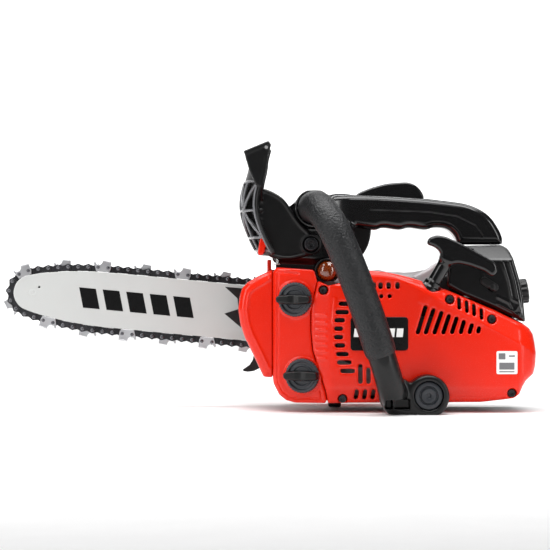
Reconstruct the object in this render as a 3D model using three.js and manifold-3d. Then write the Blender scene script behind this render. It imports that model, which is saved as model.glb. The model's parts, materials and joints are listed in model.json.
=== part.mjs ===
// Top-handle petrol chainsaw, as a group of named meshes in millimetres, +Z up.
// The bar points along -X, the starter is on the -Y side and the clutch on the +Y side.
// Shapes are laid out with the crank axis at x = 0, z = CRANK_Z; the group is then moved so
// that its origin is the bottom centre of its bounding box.
import * as THREE from 'three';
import { mergeVertices } from 'three/addons/utils/BufferGeometryUtils.js';
import Module from 'manifold-3d';

const wasm = await Module();
wasm.setup();

// Driving dimensions
const GAP = 0.35; // clearance between neighbouring pieces
const CRANK_Z = 76.3; // height of the crank axis above the ground
const BAR_Y = 58; // plane of the bar and chain
const BAR_T = 4; // bar thickness
const BAR_TILT = 0.0941; // rise of the bar towards its nose, radians
const BAR_TIP = 334.3; // crank axis to bar tip
const BAR_HALF = 26.25; // half width of the straight part of the bar
const NOSE_R = 17; // radius of the bar nose
const RAIL = 4.3; // rivet line above the bar rail
const PITCHES = 80; // rivets round the chain
const DRIVE_R = 18.4; // rivet line radius on the drive sprocket
const NOSE_TEETH = 7;
const DRIVE_TEETH = 6;
const SEAM_Y = -38; // joint between the starter cover and the engine housing
const FACE_Y = -72; // outer face of the starter cover
const HOUSE_Y = 30; // clutch-side wall of the engine housing
const CYL_TILT = 0.611; // forward lean of the cylinder, radians
const BORE_R = 17;
const CRANK_R = 14; // half of the stroke
const ROD_LEN = 50;
const TUBE_Y = -118; // centre plane of the front handle's upright
const TUBE_R = 12;
const GRIP_R = 14;
const CAP_TURN = 0.262; // inward turn of the tank face, radians
const PIVOT = [-50.7, 151]; // hand guard pivot
const STARTER_Y = -60; // plane of the starter rope

// Materials
function paint(color, roughness, metalness) {
  return new THREE.MeshStandardMaterial({ color, roughness, metalness });
}
const RED = paint(0xd8200f, 0.3, 0);
const BLACK_GLOSS = paint(0x101012, 0.25, 0);
const BLACK_MATTE = paint(0x1b1b1d, 0.6, 0);
const CAP_GREY = paint(0x2f3236, 0.55, 0);
const RUBBER = paint(0x232427, 0.85, 0);
const BAR_STEEL = paint(0xd9dbdc, 0.35, 0.6);
const CHAIN_STEEL = paint(0x35363a, 0.4, 0.8);
const STEEL = paint(0x9a9da0, 0.35, 0.9);
const ALUMINIUM = paint(0xb4b6b8, 0.45, 0.8);
const ZINC = paint(0xc8c9c4, 0.3, 0.9);
const AMBER = paint(0xc8601a, 0.2, 0);
const GREY_PLASTIC = paint(0xa9a6a6, 0.45, 0);
const FELT = paint(0xe8e2cf, 0.9, 0);

// Closed solid from a three.js geometry, turned the right way out
function solid(geometry) {
  const bare = geometry.index ? geometry.toNonIndexed() : geometry.clone();
  bare.deleteAttribute('normal');
  bare.deleteAttribute('uv');
  const merged = mergeVertices(bare, 1e-3);
  const ids = merged.index.array;
  const keep = [];
  for (let i = 0; i < ids.length; i += 3) {
    const [a, b, c] = [ids[i], ids[i + 1], ids[i + 2]];
    if (a !== b && b !== c && c !== a) keep.push(a, b, c);
  }
  const build = (tri) => new wasm.Manifold(new wasm.Mesh({
    numProp: 3,
    vertProperties: merged.attributes.position.array,
    triVerts: new Uint32Array(tri),
  }));
  const made = build(keep);
  if (made.volume() > 0) return made;
  const turned = [];
  for (let i = 0; i < keep.length; i += 3) turned.push(keep[i], keep[i + 2], keep[i + 1]);
  return build(turned);
}

function union(...parts) {
  return parts.reduce((a, b) => a.add(b));
}

function cut(body, ...tools) {
  return tools.reduce((a, b) => a.subtract(b), body);
}

function outline(points) {
  return new THREE.Shape(points.map(([x, y]) => new THREE.Vector2(x, y)));
}

const AXES = {
  x: new THREE.Matrix4().set(0, 0, 1, 0, 1, 0, 0, 0, 0, 1, 0, 0, 0, 0, 0, 1),
  y: new THREE.Matrix4().set(1, 0, 0, 0, 0, 0, -1, 0, 0, 1, 0, 0, 0, 0, 0, 1),
  z: new THREE.Matrix4(),
};

// Outline extruded along an axis between two positions; bevel chamfers both ends
function prism(axis, points, low, high, bevel = 0) {
  const geometry = new THREE.ExtrudeGeometry(outline(points), {
    depth: high - low - 2 * bevel,
    bevelEnabled: bevel > 0,
    bevelThickness: bevel,
    bevelSize: bevel,
    bevelOffset: -bevel,
    bevelSegments: 1,
    curveSegments: 8,
  });
  geometry.translate(0, 0, axis === 'y' ? bevel - high : low + bevel);
  geometry.applyMatrix4(AXES[axis]);
  return solid(geometry);
}

function box(x0, x1, y0, y1, z0, z1) {
  const geometry = new THREE.BoxGeometry(x1 - x0, y1 - y0, z1 - z0);
  geometry.translate((x0 + x1) / 2, (y0 + y1) / 2, (z0 + z1) / 2);
  return solid(geometry);
}

function along(geometry, start, direction) {
  const dir = new THREE.Vector3(...direction).normalize();
  const turn = new THREE.Quaternion().setFromUnitVectors(new THREE.Vector3(0, 1, 0), dir);
  geometry.applyQuaternion(turn);
  geometry.translate(...start);
  return solid(geometry);
}

// Round bar from a to b
function rod(a, b, r, seg = 14, r2 = r) {
  const way = new THREE.Vector3(...b).sub(new THREE.Vector3(...a));
  const geometry = new THREE.CylinderGeometry(r2, r, way.length(), seg);
  geometry.translate(0, way.length() / 2, 0);
  return along(geometry, a, way.toArray());
}

// Round bar along Y at (x, z)
function pin(x, z, y0, y1, r, seg = 14) {
  return rod([x, y0, z], [x, y1, z], r, seg);
}

function ringY(x, z, y0, y1, inner, outer, seg = 18) {
  return pin(x, z, y0, y1, outer, seg).subtract(pin(x, z, y0 - 1, y1 + 1, inner, seg));
}

// Profile of [radius, height] pairs turned about a direction
function turned(profile, start, direction, seg = 18) {
  const points = profile.map(([r, h]) => new THREE.Vector2(r, h));
  return along(new THREE.LatheGeometry(points, seg), start, direction);
}

function circle(x, z, r, seg = 14) {
  return Array.from({ length: seg }, (_, i) => {
    const a = (2 * Math.PI * i) / seg;
    return [x + r * Math.cos(a), z + r * Math.sin(a)];
  });
}

// Round-ended slot between two points
function slot(x0, z0, x1, z1, width) {
  const way = Math.atan2(z1 - z0, x1 - x0);
  const points = [];
  for (let i = 0; i < 6; i += 1) {
    const far = i > 2;
    const turn = way + (far ? -1 : 1) * Math.PI / 2 + ((i % 3) / 2) * Math.PI;
    const r = width / 2;
    const x = (far ? x1 : x0) + (far ? -r : r) * Math.cos(way);
    const z = (far ? z1 : z0) + (far ? -r : r) * Math.sin(way);
    points.push([x + r * Math.cos(turn), z + r * Math.sin(turn)]);
  }
  return points;
}

// Outline moved inwards by a distance (points run anticlockwise)
function inset(points, distance) {
  const n = points.length;
  const area = points.reduce((sum, [x, z], i) => {
    const [u, w] = points[(i + 1) % n];
    return sum + x * w - u * z;
  }, 0);
  const d = area > 0 ? distance : -distance;
  return points.map(([x, z], i) => {
    const [ax, az] = points[(i + n - 1) % n];
    const [bx, bz] = points[(i + 1) % n];
    const e1 = new THREE.Vector2(x - ax, z - az).normalize();
    const e2 = new THREE.Vector2(bx - x, bz - z).normalize();
    const mitre = new THREE.Vector2(-e1.y - e2.y, e1.x + e2.x);
    const scale = d / Math.max(0.6, 1 + e1.dot(e2));
    return [x + mitre.x * scale, z + mitre.y * scale];
  });
}

// Round tube swept through points
function sweep(points, r, steps, seg = 12) {
  const path = new THREE.CatmullRomCurve3(points.map((p) => new THREE.Vector3(...p)));
  const geometry = new THREE.ExtrudeGeometry(outline(circle(0, 0, r, seg)), {
    steps,
    bevelEnabled: false,
    extrudePath: path,
  });
  return solid(geometry);
}

const saw = new THREE.Group();
saw.name = 'chainsaw';
const offset = new THREE.Vector3();

function place(name, made, material) {
  const data = made.getMesh();
  const indexed = new THREE.BufferGeometry();
  indexed.setAttribute('position', new THREE.Float32BufferAttribute(data.vertProperties, 3));
  indexed.setIndex(Array.from(data.triVerts));
  const geometry = indexed.toNonIndexed();
  geometry.computeVertexNormals();
  const mesh = new THREE.Mesh(geometry, material);
  mesh.name = name;
  saw.add(mesh);
}

// Bar frame: u runs from the crank axis towards the nose, w is square to it and up
const COS = Math.cos(BAR_TILT);
const SIN = Math.sin(BAR_TILT);
function onBar([u, w]) {
  return [-u * COS + w * SIN, CRANK_Z + u * SIN + w * COS];
}
function barPlate(points, y0, y1) {
  return prism('y', points.map(onBar), y0, y1);
}

// Guide bar, two side plates with a groove between them and a pocket for the nose sprocket
const NOSE_U = BAR_TIP - NOSE_R;
const FLANK = [
  [27, 14],
  [32, 19],
  [58, BAR_HALF],
  [BAR_TIP - 98, BAR_HALF],
  [BAR_TIP - 75, 25.9],
  [BAR_TIP - 52, 24],
  [BAR_TIP - 34, 21.3],
  [BAR_TIP - 22, 19],
];
function barOutline(grow, noseAngle) {
  const upper = FLANK.map(([u, w]) => [u, w + grow]);
  const nose = [];
  for (let i = 0; i <= 10; i += 1) {
    const a = noseAngle * (1 - i / 5);
    nose.push([NOSE_U + (NOSE_R + grow) * Math.cos(a), (NOSE_R + grow) * Math.sin(a)]);
  }
  const lower = FLANK.map(([u, w]) => [u, -w - grow]).reverse();
  return [...upper, ...nose, ...lower].reverse();
}
const STUDS = [56, 80];
const barGroove = cut(
  barPlate(barOutline(2, 1.36), BAR_Y - 0.95, BAR_Y + 0.95),
  barPlate(inset(barOutline(0, 1.36), 6.2), BAR_Y - 2, BAR_Y + 2)
);
const nosePocket = cut(
  barPlate(circle(NOSE_U, 0, 17.6, 20), BAR_Y - 0.95, BAR_Y + 0.95),
  barPlate(circle(NOSE_U, 0, 3.6, 14), BAR_Y - 2, BAR_Y + 2)
);
place('guide_bar', cut(
  barPlate(barOutline(0, 1.36), BAR_Y - BAR_T / 2, BAR_Y + BAR_T / 2),
  barGroove,
  nosePocket,
  barPlate(slot(48, 0, 88, 0, 7), BAR_Y - 3, BAR_Y + 3),
  barPlate(circle(68, 14, 2.6, 10), BAR_Y - 3, BAR_Y + 3),
  barPlate(circle(68, -14, 2.6, 10), BAR_Y - 3, BAR_Y + 3),
  barPlate(circle(BAR_TIP - 24, 6, 1, 8), BAR_Y - 3, BAR_Y + 3)
), BAR_STEEL);

// Rivet line round the drive sprocket, the bar and the nose
function chainPath() {
  const upper = [];
  for (let i = 0; i <= 5; i += 1) {
    const a = 3.14159 - (i / 5) * 1.37;
    upper.push([DRIVE_R * Math.cos(a), DRIVE_R * Math.sin(a)]);
  }
  upper.push([60, BAR_HALF + RAIL], ...FLANK.slice(3).map(([u, w]) => [u, w + RAIL]));
  for (let i = 0; i < 8; i += 1) {
    const a = 1.36 * (1 - i / 8);
    upper.push([NOSE_U + (NOSE_R + RAIL) * Math.cos(a), (NOSE_R + RAIL) * Math.sin(a)]);
  }
  const lower = upper.slice(1).map(([u, w]) => [u, -w]).reverse();
  return [...upper, [BAR_TIP + RAIL, 0], ...lower];
}

function spacedPoints(points, count) {
  const path = new THREE.CurvePath();
  points.forEach(([x, y], i) => {
    const [u, w] = points[(i + 1) % points.length];
    path.add(new THREE.LineCurve(new THREE.Vector2(x, y), new THREE.Vector2(u, w)));
  });
  return Array.from({ length: count }, (_, i) => path.getPointAt(i / count));
}

// Link outlines: along the direction of travel, then outwards from the rivet line
const DRIVE_LINK = [
  [-7.2, -1.6], [-1.6, -6.8], [1.4, -9.2], [7.2, -1.6], [6, 2.5], [-6, 2.5],
];
const TIE_STRAP = [[-6.6, -3.5], [6.6, -3.5], [6.4, 2.9], [-6.4, 2.9]];
const CUTTER = [
  [-6.6, -3.5], [6.6, -3.5], [9, 3.4], [8.4, 5], [4.4, 2.6], [0.5, 6.9], [-7.4, 6.1],
];
const TOP_PLATE = [[-7.4, 5.1], [0.1, 5.9], [0.5, 6.9], [-7.4, 6.1]];

function chain() {
  const rivets = spacedPoints(chainPath(), PITCHES);
  const links = [];
  rivets.forEach((start, i) => {
    const end = rivets[(i + 1) % PITCHES];
    const way = end.clone().sub(start).normalize();
    const mid = start.clone().add(end).multiplyScalar(0.5);
    const lay = (points) => points.map(([s, n]) => [
      mid.x + s * way.x - n * way.y,
      mid.y + s * way.y + n * way.x,
    ]);
    if (i % 2 === 0) {
      links.push(barPlate(lay(DRIVE_LINK), BAR_Y - 0.65, BAR_Y + 0.65));
      return;
    }
    const cutterSide = i % 8 === 5 ? -1 : i % 8 === 1 ? 1 : 0;
    [-1, 1].forEach((side) => {
      const shape = side === cutterSide ? CUTTER : TIE_STRAP;
      const low = side < 0 ? BAR_Y - 1.95 : BAR_Y + 0.65;
      links.push(barPlate(lay(shape), low, low + 1.3));
    });
    if (cutterSide !== 0) {
      const low = cutterSide < 0 ? BAR_Y - 4.6 : BAR_Y + 0.2;
      links.push(barPlate(lay(TOP_PLATE), low, low + 4.4));
    }
  });
  return { rivets, made: union(...links) };
}
const { rivets, made: chainSolid } = chain();
place('saw_chain', chainSolid, CHAIN_STEEL);

// Toothed wheel in the bar frame whose teeth stand between the chain's tangs
function toothed(u, count, root, tip, tipHalf, baseHalf, bore, y0, y1) {
  const near = rivets
    .map((p, i) => [p, rivets[(i + 1) % PITCHES], i])
    .filter(([, , i]) => i % 2 === 0)
    .map(([a, b]) => a.clone().add(b).multiplyScalar(0.5))
    .filter((p) => (u > 0 ? p.x > u : p.x < u))
    .sort((a, b) => Math.abs(a.y) - Math.abs(b.y))[0];
  const phase = Math.atan2(near.y, near.x - u) + Math.PI / count;
  const points = [];
  for (let i = 0; i < count; i += 1) {
    const a = phase + (2 * Math.PI * i) / count;
    const half = Math.PI / count;
    const put = (r, s) => points.push([
      u + r * Math.cos(a) - s * Math.sin(a),
      r * Math.sin(a) + s * Math.cos(a),
    ]);
    put(root, -baseHalf);
    put(tip, -tipHalf);
    put(tip, tipHalf);
    put(root, baseHalf);
    points.push([u + root * 0.97 * Math.cos(a + half), root * 0.97 * Math.sin(a + half)]);
  }
  return cut(barPlate(points, y0, y1), barPlate(circle(u, 0, bore, 14), y0 - 1, y1 + 1));
}
place('nose_sprocket', toothed(
  NOSE_U, NOSE_TEETH, 8, 11.1, 1, 2.2, 4, BAR_Y - 0.6, BAR_Y + 0.6
), STEEL);
place('drive_sprocket', cut(
  toothed(0, DRIVE_TEETH, 8.8, 13.8, 0.9, 2, 5.4, 51.9, 64),
  ringY(0, CRANK_Z, BAR_Y - 1, BAR_Y + 1, 8.1, 20)
), STEEL);

// Clutch drum and hub, brake band
place('clutch_drum', cut(
  pin(0, CRANK_Z, 36.5, 51.5, 27, 28),
  pin(0, CRANK_Z, 36, 49.7, 25.4, 28),
  pin(0, CRANK_Z, 35, 60, 5.4, 14)
), STEEL);
const hubShape = union(
  pin(0, CRANK_Z, 38, 48, 14, 18),
  ...[0, 1, 2].map((i) => {
    const a = (i * 2 * Math.PI) / 3;
    const shoe = [];
    for (let k = 0; k <= 8; k += 1) {
      const b = a - 0.92 + (1.84 * k) / 8;
      shoe.push([24.6 * Math.cos(b), CRANK_Z + 24.6 * Math.sin(b)]);
    }
    shoe.push([12 * Math.cos(a + 0.6), CRANK_Z + 12 * Math.sin(a + 0.6)]);
    shoe.push([12 * Math.cos(a - 0.6), CRANK_Z + 12 * Math.sin(a - 0.6)]);
    return prism('y', shoe, 38.5, 47.5);
  })
);
place('clutch_hub', cut(hubShape, pin(0, CRANK_Z, 30, 60, 5.3, 14)), STEEL);
place('brake_band', cut(
  ringY(0, CRANK_Z, 39, 49, 27.5, 28.7, 28),
  box(18, 40, 30, 60, 70, 96)
), STEEL);

// Crankshaft halves, bearings and flywheel
function web(y0, y1) {
  const a = -CYL_TILT;
  const ux = Math.sin(a);
  const uz = Math.cos(a);
  const weight = pin(0, CRANK_Z, y0, y1, 22, 20);
  const side = [uz, -ux];
  const trim = [[23, 30], [23, -30], [9, -30], [9, 30]].map(([p, q]) => [
    p * side[0] + q * ux,
    CRANK_Z + p * side[1] + q * uz,
  ]);
  const cheek = pin(14 * side[0], CRANK_Z + 14 * side[1], y0, y1, 8, 12);
  return union(weight.subtract(prism('y', trim, y0 - 1, y1 + 1)), cheek);
}
place('crankshaft_clutch_side', union(
  web(5, 12.5),
  pin(0, CRANK_Z, 12, 36, 6, 14),
  pin(0, CRANK_Z, 36, 66, 5, 14)
), STEEL);
place('crankshaft_starter_side', union(
  web(-12.5, -5),
  pin(0, CRANK_Z, -36, -12, 6, 14),
  pin(0, CRANK_Z, -54, -36, 4.6, 14)
), STEEL);
place('main_bearing_clutch_side', ringY(0, CRANK_Z, 15, 24, 6.1, 13.5), ZINC);
place('main_bearing_starter_side', ringY(0, CRANK_Z, -24, -15, 6.1, 13.5), ZINC);
const fins = Array.from({ length: 12 }, (_, i) => {
  const a = (i * Math.PI) / 6;
  const [c, s] = [Math.cos(a), Math.sin(a)];
  const fin = [[12, -1], [36, -1], [36, 1], [12, 1]].map(([p, q]) => [
    p * c - q * s,
    CRANK_Z + p * s + q * c,
  ]);
  return prism('y', fin, -51, -45.5);
});
place('flywheel', cut(
  union(pin(0, CRANK_Z, -46, -40.5, 37.5, 24), pin(0, CRANK_Z, -53, -45, 13, 14), ...fins),
  pin(0, CRANK_Z, -60, -30, 4.9, 14)
), ALUMINIUM);
place('ignition_coil', union(box(41, 47, -50, -40, 62, 90), box(46, 60, -49, -41, 67, 85)), BLACK_MATTE);

// Cylinder frame: s runs up the cylinder axis from the crank, p is square to it towards the rear
const CA = Math.cos(CYL_TILT);
const SA = Math.sin(CYL_TILT);
function cyl(p, s, y = 0) {
  return [p * CA - s * SA, y, CRANK_Z + p * SA + s * CA];
}
function cylBlock(p0, p1, y0, y1, s0, s1) {
  const points = [[p0, s0], [p1, s0], [p1, s1], [p0, s1]].map(([p, s]) => {
    const [x, , z] = cyl(p, s);
    return [x, z];
  });
  return prism('y', points, y0, y1);
}
place('crankcase', cut(
  union(
    pin(0, CRANK_Z, -27, 26, 33, 24),
    cylBlock(-24, 20.5, -22, 22, 0, 30),
    box(-31, 34, -27, 26, 12.5, 70)
  ),
  pin(0, CRANK_Z, -13.2, 13.2, 28, 20),
  pin(0, CRANK_Z, -24.3, 24.3, 13.8, 18),
  pin(0, CRANK_Z, -40, 40, 6.4, 14),
  rod(cyl(0, 10), cyl(0, 60), 18.2, 18),
  cylBlock(-60, 60, -40, 40, 30, 80),
  box(-26, 26, -20, 20, 10, 40)
), ALUMINIUM);
const cylinderFins = Array.from({ length: 5 }, (_, i) => {
  const s = 41 + i * 7.6;
  return rod(cyl(0, s), cyl(0, s + 2), 23, 10);
});
place('cylinder', cut(
  union(
    rod(cyl(0, 30.4), cyl(0, 80), 19.8, 12),
    cylBlock(-23, 20.5, -21, 21, 30.4, 34),
    ...cylinderFins,
    rod(cyl(-17, 56), cyl(-30, 56), 9, 10),
    rod([-22, 0, 119.5], [-1, 0, 120.5], 8, 10),
    rod(cyl(0, 79), cyl(0, 84), 9, 12)
  ),
  rod(cyl(0, 30), cyl(0, 75), BORE_R, 18),
  rod(cyl(-40, 56), cyl(-8, 56), 6, 8),
  rod([-20, 0, 119.6], [2, 0, 120.6], 5, 8),
  rod(cyl(0, 70), cyl(0, 90), 5.4, 12)
), ALUMINIUM);
const PIN_S = Math.sqrt(ROD_LEN ** 2 - CRANK_R ** 2);
place('piston', cut(
  rod(cyl(0, PIN_S - 10), cyl(0, PIN_S + 11), BORE_R - 0.12, 18),
  rod(cyl(0, PIN_S - 20), cyl(0, PIN_S + 7.5), 14, 14),
  pin(cyl(0, PIN_S)[0], cyl(0, PIN_S)[2], -30, 30, 4.1, 12)
), ALUMINIUM);
place('wrist_pin', pin(cyl(0, PIN_S)[0], cyl(0, PIN_S)[2], -13.6, 13.6, 3.9, 12), STEEL);
const [BX, , BZ] = cyl(CRANK_R, 0);
const [WX, , WZ] = cyl(0, PIN_S);
place('connecting_rod', cut(
  union(
    pin(BX, BZ, -3.5, 3.5, 7.2, 18),
    pin(WX, WZ, -3.5, 3.5, 6, 18),
    rod([BX, 0, BZ], [WX, 0, WZ], 3.4, 10)
  ),
  pin(BX, BZ, -5, 5, 5.3, 12),
  pin(WX, WZ, -5, 5, 4.2, 12)
), STEEL);
place('crank_pin', pin(BX, BZ, -4.6, 4.6, 5, 12), STEEL);
place('spark_plug', union(
  rod(cyl(0, 77), cyl(0, 84.4), 5, 12),
  rod(cyl(0, 84.4), cyl(0, 90), 7.6, 6),
  rod(cyl(0, 90), cyl(0, 97), 3.6, 12)
), ZINC);
place('plug_boot', cut(
  union(rod(cyl(0, 90.6), cyl(0, 104), 7, 12), rod(cyl(5.4, 95.5), cyl(14, 90), 3.6, 10)),
  rod(cyl(0, 90), cyl(0, 98), 4.4, 12)
), BLACK_MATTE);
place('muffler', cut(
  prism('y', [
    [-107, 104], [-106, 72], [-97, 62], [-63, 66], [-62.5, 110], [-72, 116], [-100, 114],
  ].reverse(), -22, 26, 3),
  prism('y', [
    [-104, 102], [-103, 74], [-96, 65], [-66, 69], [-65.5, 108], [-73, 113], [-98, 111],
  ].reverse(), -19, 23),
  rod([-60, 0, 100], [-75, 0, 95], 5, 12),
  box(-96, -84, 18, 30, 76, 80),
  box(-96, -84, 18, 30, 86, 90)
), STEEL);

// Engine housing, tank housing, front shroud
const SEAM = [[-36, 8], [-38, 19], [-44.5, 38], [-49.5, 56], [-51, 73], [-51, 95], [-48, 105], [-45, 118]];
const COVER_RIM = [
  [101, 8.7], [122, 11], [131, 12.5], [136, 16], [138.5, 22.5], [142, 28], [149, 34], [151, 41],
  [151.7, 52], [150.7, 62], [149.4, 69.5], [146, 75], [142, 78], [129, 84], [115, 91], [101, 97],
  [70, 110], [41, 120], [27, 123.5], [13, 126], [0.6, 127], [-14, 125], [-24, 116],
  [-36, 113.5],
];
const COVER = [...SEAM.slice(0, 1), ...COVER_RIM, ...SEAM.slice(1).reverse()];
const HOUSE = inset(COVER, 0.5);
place('engine_housing', cut(
  union(
    prism('y', HOUSE, SEAM_Y + GAP, HOUSE_Y),
    box(-34, -22, 10, 29.5, 0, 9.5),
    box(20, 62, 10, 29.5, 0, 9.5),
    box(96, 120, 4, 26, 5, 13)
  ),
  prism('y', inset(HOUSE, 2.6), SEAM_Y - 2, HOUSE_Y - 2.6),
  prism('y', [[-60, 96], [-6, 96], [6, 140], [-60, 140]], SEAM_Y - 2, HOUSE_Y - 2.6),
  box(-60, -34, SEAM_Y - 2, 12, 92, 130),
  pin(0, CRANK_Z, 20, 40, 29.5, 20),
  rod([-12, 0, 120], [76, 0, 121], 9, 14),
  prism('y', [[34, 108], [84, 100], [84, 140], [34, 140]], -26, 16),
  ...[0, 1, 2, 3].map((i) => box(104 + i * 9, 108 + i * 9, 20, 40, 40, 66))
), BLACK_MATTE);
place('oil_pump', cut(
  union(ringY(0, CRANK_Z, 27, 35.4, 7, 15, 14), box(-42, -10, 30.4, 35, 70, 82)),
  pin(0, CRANK_Z, 20, 40, 7, 14)
), ALUMINIUM);

const TANK = [
  [-85.6, 29.5], [-85, 25], [-80, 15], [-73.6, 10], [-65, 8], [-36.6, 8],
  [-38.5, 19], [-45, 38], [-50, 56], [-51.5, 73], [-51.5, 95], [-48.5, 105], [-45.6, 117],
  [-48.5, 127.5], [-82, 130], [-85.6, 126],
];
const CAP_DIR = [-Math.sin(CAP_TURN), -Math.cos(CAP_TURN), 0];
const tankPlan = (grow) => [
  [-95, -52 + grow], [-30, -69.4 + grow], [-30, -25 - grow], [-95, -25 - grow],
];
function tankFace(x) {
  return -52 - (x + 95) * Math.tan(CAP_TURN);
}
const CAPS = [[-65, 101], [-58.5, 32.5]];
const tankShell = prism('y', TANK, -80, -20).intersect(prism('z', tankPlan(0), 0, 140));
const tankHollow = prism('y', inset(TANK, 2.6), -80, -20)
  .intersect(prism('z', tankPlan(2.6), 0, 140))
  .subtract(box(-100, -20, -80, 0, 62, 65));
const necks = CAPS.map(([x, z]) => {
  const base = [x, tankFace(x), z];
  return rod(
    base.map((v, i) => v - 8 * CAP_DIR[i]),
    base.map((v, i) => v + 4 * CAP_DIR[i]),
    11, 20
  );
});
place('tank_housing', cut(tankShell, tankHollow, ...necks), RED);
CAPS.forEach(([x, z], i) => {
  const from = (h) => [x + CAP_DIR[0] * h, tankFace(x) + CAP_DIR[1] * h, z];
  const disc = turned([
    [0, -6], [9.6, -6], [9.6, 0.5], [15.4, 0.5], [15.4, 4], [13.6, 5.4], [8.8, 5.4], [8, 3.6], [0, 3.6],
  ], from(0), CAP_DIR, 20);
  const half = 15.2 * Math.cos(CAP_TURN);
  const ends = [-half, half].map((dx) => [x + dx, tankFace(x) - dx * Math.tan(CAP_TURN) - 2]);
  const lift = [CAP_DIR[0] * 10, CAP_DIR[1] * 10];
  const wing = prism('z', [
    [ends[0][0], ends[0][1]],
    [ends[1][0], ends[1][1]],
    [ends[1][0] + lift[0] - 2, ends[1][1] + lift[1]],
    [ends[0][0] + lift[0] + 2, ends[0][1] + lift[1]],
  ].reverse(), z - 4.6, z + 4.6);
  place(i === 0 ? 'fuel_cap' : 'oil_cap', union(disc, wing), CAP_GREY);
});
const SHROUD = [
  [-86, 29.5], [-86, 128], [-99, 122], [-109, 116], [-113.5, 111], [-115.6, 104], [-117, 92],
  [-115, 78], [-111, 66], [-104, 52], [-97, 37], [-94, 30.5],
];
const SHROUD_IN = [
  [-70, 36], [-70, 122], [-88.5, 122], [-98, 118.5], [-107, 113], [-111, 108], [-113, 102], [-114.4, 92],
  [-112, 79], [-108, 67], [-101, 53], [-94.5, 39],
];
place('front_shroud', union(
  cut(
    prism('y', SHROUD, -50, 29.5, 2.5),
    prism('y', SHROUD_IN, -44, 26.5),
    box(-104, -80, 20, 40, 60, 100)
  ),
  box(-89.5, -87, -20, 10, 120, 137)
), RED);

// Starter cover with its vents
const coverBody = prism('y', COVER, FACE_Y, SEAM_Y + 8, 7).subtract(
  box(-80, 180, SEAM_Y, SEAM_Y + 20, 0, 200)
);
const coverHollow = prism('y', inset(COVER, 2.6), FACE_Y + 2.6, SEAM_Y + 8, 5.4);
const VENTS = [
  ...[[-26.4, -17.3, 97.3], [-29.3, -17.6, 89.7], [-30.2, -21.1, 82.5], [-30.7, -22.7, 75],
    [-30.7, -22.7, 67.4], [-30, -20.9, 59.9], [-28.9, -17.8, 52.2], [-27.9, -15.1, 44.7],
    [-25, -12.2, 37.1]].map(([a, b, z]) => slot(a, z, b, z, 3.7)),
  slot(-7.2, 25.6, -7.2, 43.2, 3.6),
  slot(0, 25.6, 0, 40, 3.6),
  ...[0, 1, 2].map((i) => slot(-11.4 + 7.5 * i, 11.8, -10 + 7.5 * i, 20.5, 3.4)),
  ...[[51.5, 95.7, 43.7, 69.9], [58.6, 93.1, 50.8, 69.9], [65.8, 90.6, 58.6, 69.9],
    [72.5, 87.8, 66.5, 69.9], [79.3, 85.6, 74.3, 70.2], [85.8, 82.5, 82.2, 70.2],
    [93, 79.6, 90.1, 70.2], [99.3, 77, 98, 70.7]].map(([a, b, c, d]) => slot(a, b, c, d, 3.4)),
  ...[[81.4, 92, 103], [88.3, 89, 100], [94.8, 86, 97], [101.4, 83, 93]]
    .map(([x, a, b]) => slot(x, a, x, b, 2.9)),
  ...[4.8, 10.8, 18, 26].map((x) => slot(x, 110.4, x, 116.4, 3.6)),
];
const ventCuts = VENTS.map((v) => prism('y', v, FACE_Y - 2, FACE_Y + 12));
const STEM = [0.51, 0, 0.86];
const stemAt = (h) => [54 + STEM[0] * h, STARTER_Y, 107.6 + STEM[2] * h];
const SCREWS = [[-23, 12], [128.7, 17.1], [73, 101], [110.7, 83.3]];
place('starter_cover', cut(
  union(
    coverBody.subtract(coverHollow),
    pin(0, CRANK_Z, FACE_Y + 2, -56.5, 5, 12),
    rod(stemAt(-12), stemAt(8), 12.5, 14).intersect(coverBody),
    ...SCREWS.map(([x, z]) => pin(x, z, FACE_Y + 2, SEAM_Y, 5.2, 12).intersect(coverBody))
  ),
  ...ventCuts,
  rod(stemAt(-3), stemAt(30), 10, 14),
  rod(stemAt(-20), stemAt(0), 2.2, 12),
  ...SCREWS.map(([x, z]) => pin(x, z, FACE_Y - 2, FACE_Y + 10, 4.2, 12)),
  pin(52.2, 16.3, FACE_Y - 2, SEAM_Y + 2, 13, 14)
), RED);

// Recoil starter: spring, pulley, rope and grip
const coil = [];
for (let i = 0; i <= 30; i += 1) {
  const a = i * 0.7;
  const r = 8.5 + i * 0.46;
  coil.push([r * Math.cos(a), CRANK_Z + r * Math.sin(a)]);
}
for (let i = 30; i >= 0; i -= 1) {
  const a = i * 0.7;
  const r = 9.3 + i * 0.46;
  coil.push([r * Math.cos(a), CRANK_Z + r * Math.sin(a)]);
}
place('recoil_spring', prism('y', coil, -69, -65), STEEL);
place('starter_pulley', turned([
  [5.4, -64.6], [32, -64.6], [32, -63], [28.4, -61.6], [28.4, -58.4], [32, -57], [32, -55.6], [5.4, -55.6],
  [5.4, -64.6],
], [0, 0, CRANK_Z], [0, 1, 0], 20), BLACK_MATTE);
place('starter_rope', rod([26.4, STARTER_Y, 61.2], stemAt(4.6), 1.7, 8), FELT);
const T_BAR = [
  [52.3, 150.5], [60, 148], [65, 143], [64, 136.5], [74, 132], [80, 133.5], [90, 131.5], [104, 126.5],
  [111, 121.2], [115.5, 124.5], [116, 131], [113, 135], [86, 150], [70, 157.5], [61.5, 159], [54.5, 156.5],
];
place('starter_grip', cut(
  union(
    prism('y', T_BAR, STARTER_Y - 8, STARTER_Y + 8, 2),
    rod(stemAt(6), stemAt(36), 6.2, 12),
    rod(stemAt(0), stemAt(9), 9, 16, 7.4)
  ),
  rod(stemAt(-2), stemAt(5), 2.1, 8)
), BLACK_MATTE);

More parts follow.
